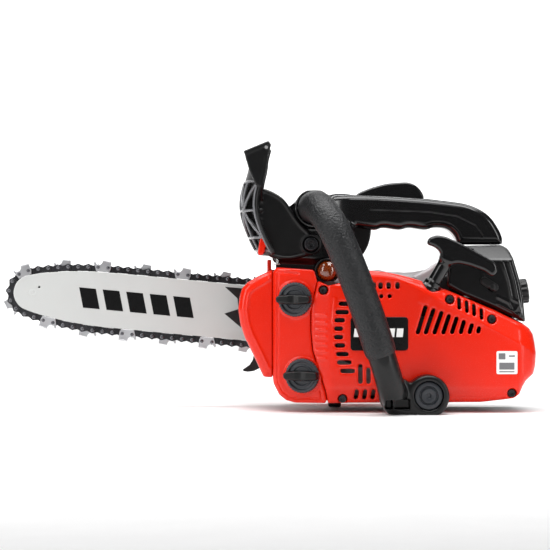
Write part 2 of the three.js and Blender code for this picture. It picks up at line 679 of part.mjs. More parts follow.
// Clutch cover, bar mounting, spikes and chain catcher
const CLUTCH = [
  [-84, 44], [-70, 38], [-20, 36], [24, 40], [38, 52], [44, 74], [38, 98], [22, 112], [-30, 124],
  [-74, 127], [-84, 122],
];
place('clutch_cover', cut(
  prism('y', CLUTCH, 26, 84, 6).subtract(box(-100, 60, 20, 34, 20, 140)),
  prism('y', inset(CLUTCH, 2.6), 25, 76.4, 4),
  prism('y', [[-90, 48], [-60, 46], [-60, 124.4], [-90, 124]], 34, 66),
  ...STUDS.map((u) => {
    const [x, z] = onBar([u, 0]);
    return pin(x, z, 60, 90, 4, 12);
  }),
  ...[0, 1, 2, 3].map((i) => box(12 + i * 6, 15 + i * 6, 70, 90, 84 - i * 3, 100 - i * 3))
).add(union(...STUDS.map((u) => {
  const [x, z] = onBar([u, 0]);
  return ringY(x, z, 60.4, 80, 3.5, 7, 18);
}))), RED);
STUDS.forEach((u, i) => {
  const [x, z] = onBar([u, 0]);
  place(`bar_stud_${i + 1}`, pin(x, z, HOUSE_Y + GAP, 91, 3, 14), STEEL);
  place(`bar_nut_${i + 1}`, cut(
    union(pin(x, z, 84.4, 85.8, 8, 18), pin(x, z, 85.8, 92, 6.5, 6)),
    pin(x, z, 80, 95, 3.2, 14)
  ), ZINC);
});
const [TX, TZ] = onBar([68, -14]);
place('tension_screw', union(
  rod([TX - 20, 50, TZ], [TX + 22, 50, TZ], 2.2, 10),
  box(TX - 3, TX + 3, 47, 55, TZ - 3, TZ + 3),
  pin(TX, TZ, 50, 58.6, 2.2, 10)
), STEEL);
const SPIKE = [
  [-84, 118], [-100, 112], [-114.6, 110.6], [-131, 112], [-119, 101], [-118, 91], [-131.4, 86.7],
  [-114.6, 72.5], [-104, 56], [-98, 49], [-106, 49], [-114, 34], [-110, 32], [-98.6, 36.6], [-88, 42],
  [-84, 48],
].reverse();
place('bumper_spike', prism('y', SPIKE, HOUSE_Y + GAP, HOUSE_Y + 3.2), CHAIN_STEEL);
const CATCHER = [[-82, 30], [-62, 26], [-54, 34], [-76, 36]];
place('chain_catcher', prism('y', CATCHER, HOUSE_Y + GAP, 66, 1.5), ALUMINIUM);

// Top handle: front housing over the cylinder, grip beam, rear leg on the air box
const LOBE = [
  [-86, 133], [-30, 130.6], [-4, 131.5], [-5, 140], [-9, 152], [-11, 168], [-12, 196.9], [-24, 197.5],
  [-59, 194],
  [-70.5, 186.5], [-80, 178], [-88, 160],
];
const BEAM = [
  [-34, 166], [-20, 168], [10, 164], [15, 167], [32, 164], [39, 167], [56, 164], [61.5, 167], [75, 166],
  [82, 159], [84.4, 151.1], [125.6, 151.1], [126, 158], [122.5, 165.5], [116.5, 175], [109, 181.5],
  [100, 186], [90, 189.2], [68, 192], [54, 193.6], [26, 195.6], [4, 196.7], [-34, 197],
];
const TRIGGER = [
  [-16, 176], [-14, 163], [-12, 152], [-8, 143], [-2.7, 141], [0, 145], [3, 151], [5, 159], [5.5, 165],
  [-1, 178], [-6, 181.6], [-13, 181],
];
const LOCKOUT = [
  [-11, 190], [50, 189], [52, 192.5], [55, 194.6], [51, 202], [45.5, 207], [39, 209], [32, 208.7],
  [19, 207.6], [4.7, 203.7], [-9, 198],
];
const TUBE_PATH = [
  [21, -92, 14], [19, -108, 22], [8, TUBE_Y, 57.6], [-6, TUBE_Y, 99], [-20, TUBE_Y, 136],
  [-33, -114, 165], [-43, -98, 181], [-48, -74, 184], [-48, -20, 184], [-48, 34, 184],
];
place('top_handle', cut(
  union(prism('y', LOBE, -27, 27, 3), prism('y', BEAM, -17, 17, 4)),
  prism('y', [
    [-83, 120], [-6.6, 120], [-7.8, 140], [-11.6, 152], [-14, 160], [-34, 166.5], [-64, 167], [-76, 172],
    [-83, 158],
  ], -24, 24),
  prism('y', circle(-48, 184, GRIP_R + GAP, 18), -40, 40),
  prism('y', [[-40, 160], [-20, 130], [8, 130], [10, 165], [4, 184], [-20, 186], [-30, 176]], -5.4, 5.4),
  prism('y', [[-13, 183], [58, 181], [58, 200], [-13, 199]], -6.6, 6.6),
  pin(PIVOT[0], PIVOT[1], -40, 0, 3.4, 14)
).add(pin(PIVOT[0], PIVOT[1], 25, 33, 3, 14)), BLACK_GLOSS);
place('throttle_trigger', prism('y', TRIGGER, -4.6, 4.6, 1), BLACK_MATTE);
place('throttle_lockout', prism('y', LOCKOUT, -6.2, 6.2, 1.5), BLACK_GLOSS);
place('stop_switch', union(box(66, 76, 18, 21, 172, 180), box(69, 73, 21, 23, 173.5, 178.5)), RED);

// Front handle: plastic tube with a foot bracket, rubber sleeve, vibration mount
const FOOT = [
  [15, 0], [62, 0], [66, 4], [70.2, 16], [64, 29], [52.2, 34.3], [42, 31], [36, 27], [32, 31],
  [12, 31], [12, 22],
];
const foot = cut(
  union(
    prism('y', FOOT, -100, -75.2, 2),
    rod([21, -92, 10], [18, -108, 27], TUBE_R, 12)
  ),
  pin(52.2, 16.3, -110, -86, 13, 18),
  pin(52.2, 16.3, -110, -70, 4, 12),
  prism('y', [[20, 3], [34, 3], [34, 13], [18, 13]], -120, -92),
  box(0, 60, -130, -60, -20, 0)
);
const tube = sweep(TUBE_PATH, TUBE_R, 15, 12);
place('front_handle', union(tube.subtract(box(0, 60, -130, -60, -30, 9)), foot), BLACK_MATTE);
const sleeve = sweep(TUBE_PATH, GRIP_R, 15, 12).subtract(sweep(TUBE_PATH, TUBE_R + 0.3, 15, 12));
const KEEP = prism('y', [[-90, 55], [40, 55], [40, 220], [-90, 220]], -140, 27);
place('handle_grip', sleeve.intersect(KEEP), RUBBER);
place('mount_rubber', pin(52.2, 16.3, -74.8, -41, 12, 18), RUBBER);
place('mount_cap', cut(
  turned([
    [0, -96], [1.6, -97.4], [6.6, -98.2], [7.4, -96.6], [8.2, -98.2], [12.4, -98], [12.6, -86.4],
    [0, -86.4],
  ].reverse(), [52.2, 0, 16.3], [0, 1, 0], 18)
), CAP_GREY);

// Hand guard: bowed lattice, top wings and two arms to the pivot
function bow(y, z) {
  const front = new THREE.SplineCurve([
    [-97.5, 139], [-104, 149], [-109, 160], [-113, 172], [-115, 184], [-115.6, 194], [-113.5, 205],
  [-110, 214],
    [-108, 222], [-109.5, 235],
  ].map(([a, b]) => new THREE.Vector2(a, b)));
  const t = THREE.MathUtils.clamp((z - 139) / 96, 0, 1);
  return front.getPoint(t).x + 15 * (Math.abs(y) / 52) ** 2;
}
const sheet = new THREE.BoxGeometry(3, 104, 92, 1, 5, 6);
const corner = sheet.attributes.position;
for (let i = 0; i < corner.count; i += 1) {
  const y = corner.getY(i);
  const z = corner.getZ(i) + 187;
  corner.setXYZ(i, corner.getX(i) + 1.5 + bow(y, z), y, z);
}
const windows = [];
[[-47, -25.2], [-22.8, -1.2], [1.2, 22.8], [25.2, 47]].forEach(([y0, y1], column) => {
  windows.push([[y0, 147], [y1, 147], [y1, 155.6], [y0, 155.6]]);
  [[158.8, 180.4], [183.2, 207]].forEach(([z0, z1], row) => {
    const lower = [[y0 + 2.4, z0], [y1, z0], [y1, z1 - 2.4]];
    const upper = [[y0, z0 + 2.4], [y1 - 2.4, z1], [y0, z1]];
    const turn = (points) => points.map(([y, z]) => [y0 + y1 - y, z]).reverse();
    const flip = (column + row) % 2 === 1;
    windows.push(flip ? turn(lower) : lower, flip ? turn(upper) : upper);
  });
});
const ARM = [
  [-99, 150], [-87, 138], [-70, 136], [-50.7, 141], [-43, 144], [-40.7, 151], [-43, 158], [-50.7, 161],
  [-62, 172], [-70.6, 186], [-76, 193], [-83.5, 198], [-94.5, 203], [-101, 196], [-102, 175],
];
const WING = [[-101, 204], [-94.5, 203], [-92, 222], [-87, 241], [-89.5, 244], [-111.7, 235], [-107, 218]];
place('hand_guard', cut(
  union(
    solid(sheet),
    prism('y', ARM, -32.5, -28.5),
    prism('y', ARM, 28.5, 32.5),
    prism('y', [[-101, 206], [-101, 160], [-96, 158], [-94.5, 203]], -46, 46),
    prism('y', WING, -52, -48.6),
    prism('y', WING, 48.6, 52),
    prism('y', [[-111.7, 235], [-89.5, 244], [-88.6, 242], [-110, 232]], -52, 52)
  ),
  ...windows.map((points) => prism('x', points, -130, -90)),
  pin(PIVOT[0], PIVOT[1], -40, 40, 3.4, 12)
), BLACK_GLOSS);
place('guard_pivot_screw', union(
  pin(PIVOT[0], PIVOT[1], -34, -25, 3.1, 14),
  pin(PIVOT[0], PIVOT[1], -36, -32.8, 6.4, 14)
), CHAIN_STEEL);

// Intake: boot, carburettor, air box, filter, cover, knob, choke, primer
const BOOT_WEDGE = [[42, 121], [58, 129], [65, 134.5], [70, 134.5], [70, 112], [64, 110], [48, 116]];
place('intake_boot', cut(
  union(
    sweep([[-0.3, 0, 120.7], [12, 0, 120], [30, 0, 118], [52, 0, 119.5], [71, 0, 122.5]], 7, 5, 10),
    prism('y', BOOT_WEDGE, -24, 14, 1)
  ),
  sweep([[-3, 0, 120.5], [12, 0, 120], [30, 0, 118], [52, 0, 119.5], [74, 0, 122.8]], 5, 5, 8)
), GREY_PLASTIC);
place('carburetor', cut(
  union(
    box(76.5, 92, -15, 15, 112, 136),
    rod([74, 0, 122.8], [94, 0, 122.8], 13, 14),
    box(80, 90, -20, 20, 118, 126),
  ),
  rod([70, 0, 122.8], [100, 0, 122.8], 5.6, 12)
), ALUMINIUM);
place('air_box', cut(
  box(94.5, 97, -41, 36, 102.5, 147),
  rod([90, 0, 122.8], [100, 0, 122.8], 6, 12),
  rod([90, -1, 108], [100, -1, 108], 3, 12)
), BLACK_MATTE);
place('air_filter', cut(
  prism('x', [[-36, 100], [32, 100], [32, 144], [-36, 144]], 97.6, 126, 2),
  rod([90, -1, 108], [130, -1, 108], 4.2, 12),
  prism('x', [[-32, 113], [28, 113], [28, 140], [-32, 140]], 97, 122)
), FELT);
const AIR = [
  [72, 113], [74, 138], [84, 149.7], [123, 150.7], [129, 147], [132, 140], [138, 120], [141.5, 102.5],
  [143.7, 79.6],
  [129, 86], [115, 93], [101, 99], [86, 105],
].reverse();
place('air_cleaner_cover', cut(
  prism('y', AIR, -46, 40, 3),
  prism('y', [
    [75, 118], [77, 137], [86.5, 147], [122, 148], [127, 145], [129.5, 139], [135.4, 119.6], [138.8, 102],
    [140.6, 84],
    [150, 60], [40, 60],
  ].reverse(), -43.4, 37.4),
  prism('y', [[60, 100], [84, 100], [84, 137], [60, 137]], -26, 16),
  rod([120, -1, 105], [160, -1, 109.6], 4.4, 12),
  pin(113, 112, -60, -40, 2.6, 12)
), BLACK_GLOSS);
const KNOB_DIR = [0.99, 0, 0.14];
const knobAt = (h) => [141.6 + KNOB_DIR[0] * h, -1, 107.4 + KNOB_DIR[2] * h];
place('filter_knob', union(
  rod(knobAt(1.2), knobAt(9), 11.6, 12),
  rod(knobAt(-11), knobAt(2), 3.2, 12)
), BLACK_MATTE);
place('choke_lever', union(
  pin(113, 112, -50, -38, 2.3, 12),
  prism('y', slot(118, 110, 103, 119.5, 7), -50.6, -46.4)
), BLACK_MATTE);
const PRIMER = [-36.5, 126.8];
place('primer_base', cut(
  pin(PRIMER[0], PRIMER[1], -61, -44, 11.3, 18),
  pin(PRIMER[0], PRIMER[1], -62, -49.6, 9.7, 18),
  box(-60, -10, -62, -40, 100, 117)
), BLACK_MATTE);
place('primer_bulb', turned([
  [0, -55.3], [9.2, -55.3], [9.2, -58.8], [8, -62.6], [5, -65.4], [0, -66.6],
].reverse(), [PRIMER[0], 0, PRIMER[1]], [0, 1, 0], 14), AMBER);

// Move the whole saw to its own frame: origin at the bottom centre of the bounding box
saw.updateMatrixWorld(true);
const bounds = new THREE.Box3().setFromObject(saw);
bounds.getCenter(offset);
saw.children.forEach((mesh) => {
  mesh.position.set(-offset.x, -offset.y, -bounds.min.z);
});

export default saw;
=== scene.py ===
"""Looks for the top-handle chainsaw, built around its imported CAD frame.

Shapes are laid out in millimetres on the engine's axes: x and y are zero on the crank axis,
z is zero on the ground, and ORIGIN moves them to the row frame in metres.
"""
import json
import math
from functools import reduce

import bpy
import numpy as np
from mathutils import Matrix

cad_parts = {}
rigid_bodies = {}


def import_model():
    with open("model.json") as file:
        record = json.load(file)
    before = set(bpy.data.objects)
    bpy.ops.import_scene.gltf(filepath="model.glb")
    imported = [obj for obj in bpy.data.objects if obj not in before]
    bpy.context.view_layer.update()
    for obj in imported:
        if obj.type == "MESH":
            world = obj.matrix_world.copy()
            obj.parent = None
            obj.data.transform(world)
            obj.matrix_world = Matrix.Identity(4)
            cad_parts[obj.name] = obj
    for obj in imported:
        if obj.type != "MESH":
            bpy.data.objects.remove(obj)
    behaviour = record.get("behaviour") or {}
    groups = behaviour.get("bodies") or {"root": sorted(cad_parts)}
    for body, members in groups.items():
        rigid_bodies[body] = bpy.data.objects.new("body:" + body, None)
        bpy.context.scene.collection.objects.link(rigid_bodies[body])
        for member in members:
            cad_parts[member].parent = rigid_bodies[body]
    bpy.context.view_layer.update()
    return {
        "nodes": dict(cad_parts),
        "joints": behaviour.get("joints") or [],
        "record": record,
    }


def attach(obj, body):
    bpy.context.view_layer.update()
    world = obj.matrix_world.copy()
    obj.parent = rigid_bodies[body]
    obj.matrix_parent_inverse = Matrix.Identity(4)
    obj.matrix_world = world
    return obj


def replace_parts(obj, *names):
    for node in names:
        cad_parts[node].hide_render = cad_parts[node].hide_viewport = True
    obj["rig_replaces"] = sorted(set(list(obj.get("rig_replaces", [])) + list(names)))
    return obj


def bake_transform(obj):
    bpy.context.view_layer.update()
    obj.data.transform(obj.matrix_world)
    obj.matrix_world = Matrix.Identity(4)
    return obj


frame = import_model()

import openvdb
from mathutils import Vector

CRANK_Z = 76.3  # crank axis above the ground
BAR_Y = 58.0  # middle plane of bar and chain
BAR_TILT = 0.0941  # radians, nose up
BAR_TIP = 334.3  # from the crank axis to the end of the nose
BAR_HALF = 26.25  # half the width of the bar's straight part
NOSE_R = 17.0
FACE_Y = -72.0  # outer face of the starter cover
SEAM_Y = -38.0  # plane where starter cover and engine housing meet
CAP_TURN = 0.262  # radians, how far the caps' face turns to the front
PIVOT = (-50.7, 151.0)
WALL = 2.6  # wall of the plastic shells
COARSE = 1.0
crank = next(j for j in frame["joints"] if j["name"] == "crank_spin")["pos_m"]
ORIGIN = np.array([crank[0], crank[1], crank[2] - CRANK_Z / 1000])


def world(point):
    return Vector(np.asarray(point, float) / 1000 + ORIGIN)


# ---------------------------------------------------------------- materials
def add_node(tree, kind, links, values):
    node = tree.nodes.new(kind)
    for socket, value in values.items():
        node.inputs[socket].default_value = value
    for socket, source in links.items():
        tree.links.new(source, node.inputs[socket])
    return node


def noise(tree, where, scale, detail):
    values = {"Scale": scale, "Detail": detail}
    return add_node(tree, "ShaderNodeTexNoise", {"Vector": where}, values).outputs["Fac"]


def ranged(tree, value, low, high):
    """Noise between 0.3 and 0.7, stretched to run from low to high"""
    values = {"From Min": 0.3, "From Max": 0.7, "To Min": low, "To Max": high}
    return add_node(tree, "ShaderNodeMapRange", {"Value": value}, values).outputs["Result"]


def mixed(tree, factor, a, b):
    node = tree.nodes.new("ShaderNodeMix")
    node.data_type = "RGBA"
    node.inputs["A"].default_value = (*a, 1)
    node.inputs["B"].default_value = (*b, 1)
    tree.links.new(factor, node.inputs["Factor"])
    return node.outputs["Result"]


DRIFT_SCALE = 28.0  # slow noise, in cycles to the metre


def finish(name, color, rough, metal, vary, grain, bump, depth, more=None):
    """Procedural finish: colour and roughness drift with a slow noise, bump with a fine one"""
    more = more or {}
    mat = bpy.data.materials.new(name)
    mat.use_nodes = True
    tree = mat.node_tree
    shader = tree.nodes["Principled BSDF"]
    where = tree.nodes.new("ShaderNodeTexCoord").outputs["Object"]
    dark = tuple(c * (1 - vary) for c in color)
    light = more.get("second") or tuple(min(1.0, c * (1 + vary * 0.5)) for c in color)
    drift = ranged(tree, noise(tree, where, DRIFT_SCALE, 4.0), 0, 1)
    if "stretch" in more:
        scale = {"Scale": more["stretch"]}
        where = add_node(tree, "ShaderNodeMapping", {"Vector": where}, scale).outputs["Vector"]
    fine = noise(tree, where, grain, 2.0)
    relief = add_node(tree, "ShaderNodeBump", {"Height": fine}, {"Strength": bump, "Distance": depth})
    links = {"Base Color": mixed(tree, drift, dark, light), "Normal": relief.outputs["Normal"],
             "Roughness": ranged(tree, fine, rough * 0.85, min(1.0, rough * 1.2))}
    for socket, source in links.items():
        tree.links.new(source, shader.inputs[socket])
    values = {"Metallic": metal, "Coat Weight": more.get("coat", 0), "Coat Roughness": 0.08,
              "Sheen Weight": more.get("sheen", 0), "Specular IOR Level": more.get("shine", 0.5),
              "Transmission Weight": more.get("through", 0)}
    for socket, value in values.items():
        shader.inputs[socket].default_value = value
    return mat


# Colour, roughness, metal, drift, grain of the bump, its strength and its depth in metres
LOOKS = {
    "red_plastic": ((0.72, 0.014, 0.0012), 0.24, 0, 0.05, 1500, 0.04, 4e-05, {"coat": 0.12, "shine": 0.3}),
    "black_gloss": ((0.0028, 0.0028, 0.0031), 0.17, 0, 0.2, 1200, 0.06, 5e-05, {"coat": 0.1}),
    "black_matte": ((0.0022, 0.0022, 0.0025), 0.33, 0, 0.25, 1600, 0.3, 0.0001, {"shine": 0.34}),
    "cap_grey": ((0.021, 0.024, 0.03), 0.36, 0, 0.2, 1800, 0.25, 8e-05),
    "rubber_black": ((0.0038, 0.0042, 0.0052), 0.42, 0, 0.3, 520, 1, 0.0012, {"shine": 0.4}),
    "bar_steel": ((0.53, 0.54, 0.53), 0.34, 0.15, 0.02, 700, 0.03, 2e-05, {"stretch": (0.12, 1, 1.6)}),
    "chain_steel": ((0.022, 0.022, 0.024), 0.3, 0.7, 0.3, 900, 0.2, 0.0001,
        {"second": (0.05, 0.05, 0.055)}),
    "cutter_steel": ((0.6, 0.6, 0.62), 0.34, 0.95, 0.15, 900, 0.12, 6e-05),
    "steel": ((0.42, 0.43, 0.45), 0.3, 1, 0.2, 700, 0.12, 8e-05),
    "rivet_steel": ((0.13, 0.13, 0.14), 0.28, 0.95, 0.25, 900, 0.1, 6e-05),
    "aluminium": ((0.46, 0.47, 0.48), 0.42, 0.9, 0.12, 900, 0.4, 0.0003),
    "zinc_plate": ((0.58, 0.58, 0.56), 0.25, 1, 0.14, 900, 0.1, 6e-05),
    "amber_plastic": ((0.3, 0.045, 0.004), 0.06, 0, 0.3, 300, 0.03, 5e-05, {"coat": 1.0, "through": 0.45}),
    "grey_plastic": ((0.5, 0.47, 0.48), 0.35, 0, 0.1, 1500, 0.15, 0.0001),
    "filter_felt": ((0.72, 0.68, 0.58), 0.9, 0, 0.12, 1400, 0.8, 0.0004, {"sheen": 0.3}),
    "rope_cord": ((0.55, 0.54, 0.52), 0.75, 0, 0.2, 1600, 0.7, 0.0003, {"sheen": 0.2}),
    "white_print": ((0.82, 0.82, 0.81), 0.35, 0, 0.03, 1500, 0.05, 3e-05),
    "grey_print": ((0.16, 0.16, 0.17), 0.4, 0, 0.1, 1500, 0.05, 3e-05),
    # the guard's ribs are black plastic; this mid grey is a painted highlight for the silver reflections
    # they catch
    "lattice_painted_highlight": ((0.13, 0.13, 0.14), 0.2, 0, 0.2, 1200, 0.06, 5e-05, {"coat": 0.5}),
    # the flywheel is aluminium; this dark finish is painted shade, so it reads black through the vents
    "flywheel_painted_shade": ((0.05, 0.05, 0.052), 0.5, 0.6, 0.2, 900, 0.4, 0.0003),
    "black_oxide": ((0.005, 0.005, 0.0055), 0.38, 0.3, 0.3, 900, 0.3, 0.0001),
    "black_print": ((0.002, 0.002, 0.0022), 0.3, 0, 0.2, 1500, 0.05, 3e-05, {"shine": 0.2}),
}
FINISH = {look: finish(look, *values) for look, values in LOOKS.items()}


# ---------------------------------------------------------------- meshes
def add_piece(name, shape, slot, body="saw_body", to=None, sharp=None, paint=None):
    """One visible piece from points in millimetres and faces; it replaces the CAD piece of its name

    to maps the points to the engine's axes first, and paint is a finish other than the slot's own.
    """
    points, faces = np.asarray(shape[0], float), shape[1]
    if to is not None:
        points = to(points)
    mesh = bpy.data.meshes.new(name)
    mesh.from_pydata((points / 1000 + ORIGIN).tolist(), [], [tuple(f) for f in faces])
    mesh.validate()
    mesh.update()
    if signed_volume(mesh) < 0:
        mesh.flip_normals()
    mesh.shade_smooth()
    if sharp:
        mesh.set_sharp_from_angle(angle=math.radians(sharp))
    mesh.materials.append(FINISH[paint or slot])
    obj = bpy.data.objects.new(name, mesh)
    bpy.context.scene.collection.objects.link(obj)
    if body:
        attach(obj, body)
    if name in frame["nodes"]:
        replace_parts(obj, name)
    return obj


def signed_volume(mesh):
    mesh.calc_loop_triangles()
    n = len(mesh.loop_triangles)
    tri = np.zeros(n * 3, np.int32)
    mesh.loop_triangles.foreach_get("vertices", tri)
    co = np.zeros(len(mesh.vertices) * 3, np.float32)
    mesh.vertices.foreach_get("co", co)
    p = co.reshape(-1, 3)[tri.reshape(-1, 3)].astype(float)
    return float(np.einsum("ij,ij->", p[:, 0], np.cross(p[:, 1], p[:, 2])))


class Field:
    """Distance field on a regular grid, in millimetres, negative inside the shape"""

    def __init__(self, lo, hi, step):
        self.lo = np.array(lo, float)
        self.step = step * COARSE
        count = np.ceil((np.array(hi, float) - self.lo) / self.step).astype(int) + 1
        x, y, z = (self.lo[i] + self.step * np.arange(count[i]) for i in range(3))
        self.x = x.astype(np.float32)[:, None, None]
        self.y = y.astype(np.float32)[None, :, None]
        self.z = z.astype(np.float32)[None, None, :]
        self.shape = tuple(count)

    def flat(self, outline, r=0.0):
        return poly(self.x, self.z, outline, r)

    def piece(self, name, d, slot, body="saw_body", **more):
        reach = 3 * self.step
        dense = np.clip(np.broadcast_to(d, self.shape), -reach, reach).astype(np.float32)
        grid = openvdb.FloatGrid(reach)
        grid.copyFromArray(np.ascontiguousarray(dense))
        points, tris, quads = grid.convertToPolygons(isovalue=0.0, adaptivity=0.0)
        shape = points * self.step + self.lo, quads.tolist() + tris.tolist()
        return add_piece(name, shape, slot, body, **more)


def inset(points, distance):
    p = np.array(points, float)
    before = p - np.roll(p, 1, 0)
    after = np.roll(p, -1, 0) - p
    before /= np.linalg.norm(before, axis=1, keepdims=True)
    after /= np.linalg.norm(after, axis=1, keepdims=True)
    area = np.sum(p[:, 0] * np.roll(p[:, 1], -1) - np.roll(p[:, 0], -1) * p[:, 1])
    side = distance if area > 0 else -distance
    mitre = np.stack([-before[:, 1] - after[:, 1], before[:, 0] + after[:, 0]], 1)
    scale = side / np.maximum(0.6, 1 + np.sum(before * after, 1))
    return (p + mitre * scale[:, None]).tolist()


def curve(p, b, q, steps):
    """Curve from p to q that b pulls towards itself"""
    where = np.linspace(0, 1, steps + 1)
    return [tuple((1 - t) ** 2 * p + 2 * t * (1 - t) * b + t * t * q) for t in where]


def eased(points, cut):
    """Closed outline with every corner replaced by a curve that starts up to cut before it"""
    out = []
    for corner in zip(points[-1:] + points[:-1], points, points[1:] + points[:1]):
        a, b, c = (np.array(p, float) for p in corner)
        la, lc = np.linalg.norm(a - b), np.linalg.norm(c - b)
        p = b + (a - b) / la * min(cut, la * 0.48)
        q = b + (c - b) / lc * min(cut, lc * 0.48)
        out += curve(p, b, q, 4)
    return out


def poly(u, v, points, r=0.0):
    """Distance to a polygon whose outer corners are rounded to radius r"""
    if r:
        points = inset(points, r)
    near = None
    sign = np.float32(1)
    for i in range(len(points)):
        (ax, ay), (bx, by) = points[i], points[i - 1]
        ex, ey = bx - ax, by - ay
        wx, wy = u - ax, v - ay
        t = np.clip((wx * ex + wy * ey) / (ex * ex + ey * ey + 1e-9), 0, 1)
        gap = (wx - ex * t) ** 2 + (wy - ey * t) ** 2
        near = gap if near is None else np.minimum(near, gap)
        above, below, left = v >= ay, v < by, ex * wy > ey * wx
        sign = np.where((above & below & left) | (~above & ~below & ~left), -sign, sign)
    return sign * np.sqrt(near) - r


def rounded(a, b, r):
    """Overlap of two fields, with their common outer edge rounded to radius r"""
    a, b = a + r, b + r
    return np.minimum(np.maximum(a, b), 0) + np.hypot(np.maximum(a, 0), np.maximum(b, 0)) - r


def smin(a, b, k):
    h = np.maximum(k - np.abs(a - b), 0) / k
    return np.minimum(a, b) - h * h * k / 4


def smax(a, b, k):
    return -smin(-a, -b, k)


def slab(v, low, high):
    return np.abs(v - (low + high) / 2) - (high - low) / 2


def union(fields, k=0.0):
    """Least of the fields, with their joints eased over k"""
    return reduce(lambda a, b: smin(a, b, k) if k else np.minimum(a, b), fields)


def prism(g, outline, y0, y1, edge, r=0.0):
    """Outline in x and z drawn out from y0 to y1, with rounded rims and corners of radius r"""
    return rounded(g.flat(outline, r), slab(g.y, y0, y1), edge)


def capsule(g, a, b, r):
    a, b = np.array(a, float), np.array(b, float)
    way = b - a
    p = [g.x - a[0], g.y - a[1], g.z - a[2]]
    t = np.clip((p[0] * way[0] + p[1] * way[1] + p[2] * way[2]) / (way @ way), 0, 1)
    return np.sqrt(sum((p[i] - way[i] * t) ** 2 for i in range(3))) - r


def rod(g, a, b, r, edge=0.6):
    """Flat-ended round bar"""
    a, b = np.array(a, float), np.array(b, float)
    length = np.linalg.norm(b - a)
    way = (b - a) / length
    p = [g.x - a[0], g.y - a[1], g.z - a[2]]
    t = p[0] * way[0] + p[1] * way[1] + p[2] * way[2]
    radial = np.sqrt(np.maximum(p[0] ** 2 + p[1] ** 2 + p[2] ** 2 - t * t, 0)) - r
    return rounded(radial, np.abs(t - length / 2) - length / 2, edge)


def pin(g, x, z, y0, y1, r, edge=0.6):
    return rounded(np.hypot(g.x - x, g.z - z) - r, slab(g.y, y0, y1), edge)


def brick(g, x0, x1, y0, y1, z0, z1, edge=0.6):
    flat = rounded(slab(g.x, x0, x1), slab(g.z, z0, z1), edge)
    return rounded(flat, slab(g.y, y0, y1), edge)


def stroke(u, v, x0, z0, x1, z1, width):
    """Round-ended slot in the plane, between two points that its ends touch"""
    length = math.hypot(x1 - x0, z1 - z0)
    ux, uz = (x1 - x0) / length, (z1 - z0) / length
    r = width / 2
    t = np.clip((u - x0) * ux + (v - z0) * uz, r, length - r)
    return np.hypot(u - x0 - t * ux, v - z0 - t * uz) - r


def lathe(name, profile, start, direction, slot, body="saw_body", seg=72, sharp=35):
    """Profile of (radius, height) pairs turned about a direction"""
    way = Vector(direction).normalized()
    turn = Vector((0, 0, 1)).rotation_difference(way).to_matrix()
    points, faces, rings = [], [], []
    for r, h in profile:
        if r < 1e-6:
            rings.append([len(points)] * seg)
            points.append((0, 0, h))
            continue
        rings.append(list(range(len(points), len(points) + seg)))
        for i in range(seg):
            a = 2 * math.pi * i / seg
            points.append((r * math.cos(a), r * math.sin(a), h))
    for lower, upper in zip(rings, rings[1:]):
        for i in range(seg):
            j = (i + 1) % seg
            face = [lower[i], lower[j], upper[j], upper[i]]
            face = [v for k, v in enumerate(face) if v not in face[:k]]
            if len(face) > 2:
                faces.append(face)
    if profile[0] == profile[-1]:
        last = rings[-1]
        remap = {last[i]: rings[0][i] for i in range(seg)}
        faces = [[remap.get(v, v) for v in f] for f in faces]
    spun = [tuple(turn @ Vector(p) + Vector(start)) for p in points]
    return add_piece(name, (spun, faces), slot, body, sharp=sharp)


def rounded_profile(profile, r):
    """Profile with each inner corner point replaced by a short arc"""
    out = [profile[0]]
    for corner in zip(profile, profile[1:], profile[2:]):
        a, b, c = (np.array(p, float) for p in corner)
        la, lc = np.linalg.norm(a - b), np.linalg.norm(c - b)
        if la < 1e-6 or lc < 1e-6 or b[0] < 1e-6:
            out.append(tuple(b))
            continue
        cut = min(r, la * 0.45, lc * 0.45)
        out += curve(b + (a - b) / la * cut, b, b + (c - b) / lc * cut, 3)
    out.append(profile[-1])
    return out


def skinned(rings):
    """Closed skin over a row of rings with as many points each, as points and faces"""
    n, last = len(rings[0]), len(rings) - 1
    faces = [list(range(n))[::-1], list(range(last * n, (last + 1) * n))]
    for k in range(last):
        for i in range(n):
            j = (i + 1) % n
            faces.append([k * n + i, k * n + j, (k + 1) * n + j, (k + 1) * n + i])
    return [tuple(p) for ring in rings for p in ring], faces


def plate_mesh(outline, y0, y1, bevel):
    """Flat plate in x and z with chamfered rims"""
    small = inset(outline, bevel)
    rings = ((small, y0), (outline, y0 + bevel), (outline, y1 - bevel), (small, y1))
    return skinned([[(x, y, z) for x, z in ring] for ring, y in rings])


def smooth_path(points, per):
    """Centripetal Catmull-Rom line through the points"""
    p = np.array(points, float)
    p = np.vstack([2 * p[0] - p[1], p, 2 * p[-1] - p[-2]])
    out = []
    for i in range(1, len(p) - 2):
        q = p[i - 1 : i + 3]
        t = np.concatenate([[0], np.cumsum(np.sqrt(np.linalg.norm(np.diff(q, axis=0), axis=1)))])
        for s in np.linspace(t[1], t[2], per, endpoint=False):
            a = [((t[k + 1] - s) * q[k] + (s - t[k]) * q[k + 1]) / (t[k + 1] - t[k]) for k in range(3)]
            b = [((t[k + 2] - s) * a[k] + (s - t[k]) * a[k + 1]) / (t[k + 2] - t[k]) for k in range(2)]
            out.append(((t[2] - s) * b[0] + (s - t[1]) * b[1]) / (t[2] - t[1]))
    out.append(p[-2])
    return np.array(out)


def swept(points, radii, seg=56):
    """Round sweep along a line, with a radius at each point"""
    line = np.asarray(points, float)
    ahead = np.gradient(line, axis=0)
    ahead /= np.linalg.norm(ahead, axis=1, keepdims=True)
    side = np.cross(ahead[0], [0.3, 0.5, 0.81])
    angle = np.linspace(0, 2 * np.pi, seg, endpoint=False)[:, None]
    rings = []
    for p, t, r in zip(line, ahead, radii):
        side = side - t * (side @ t)
        side /= np.linalg.norm(side)
        rings.append(p + r * (np.cos(angle) * side + np.sin(angle) * np.cross(t, side)))
    return skinned(rings)


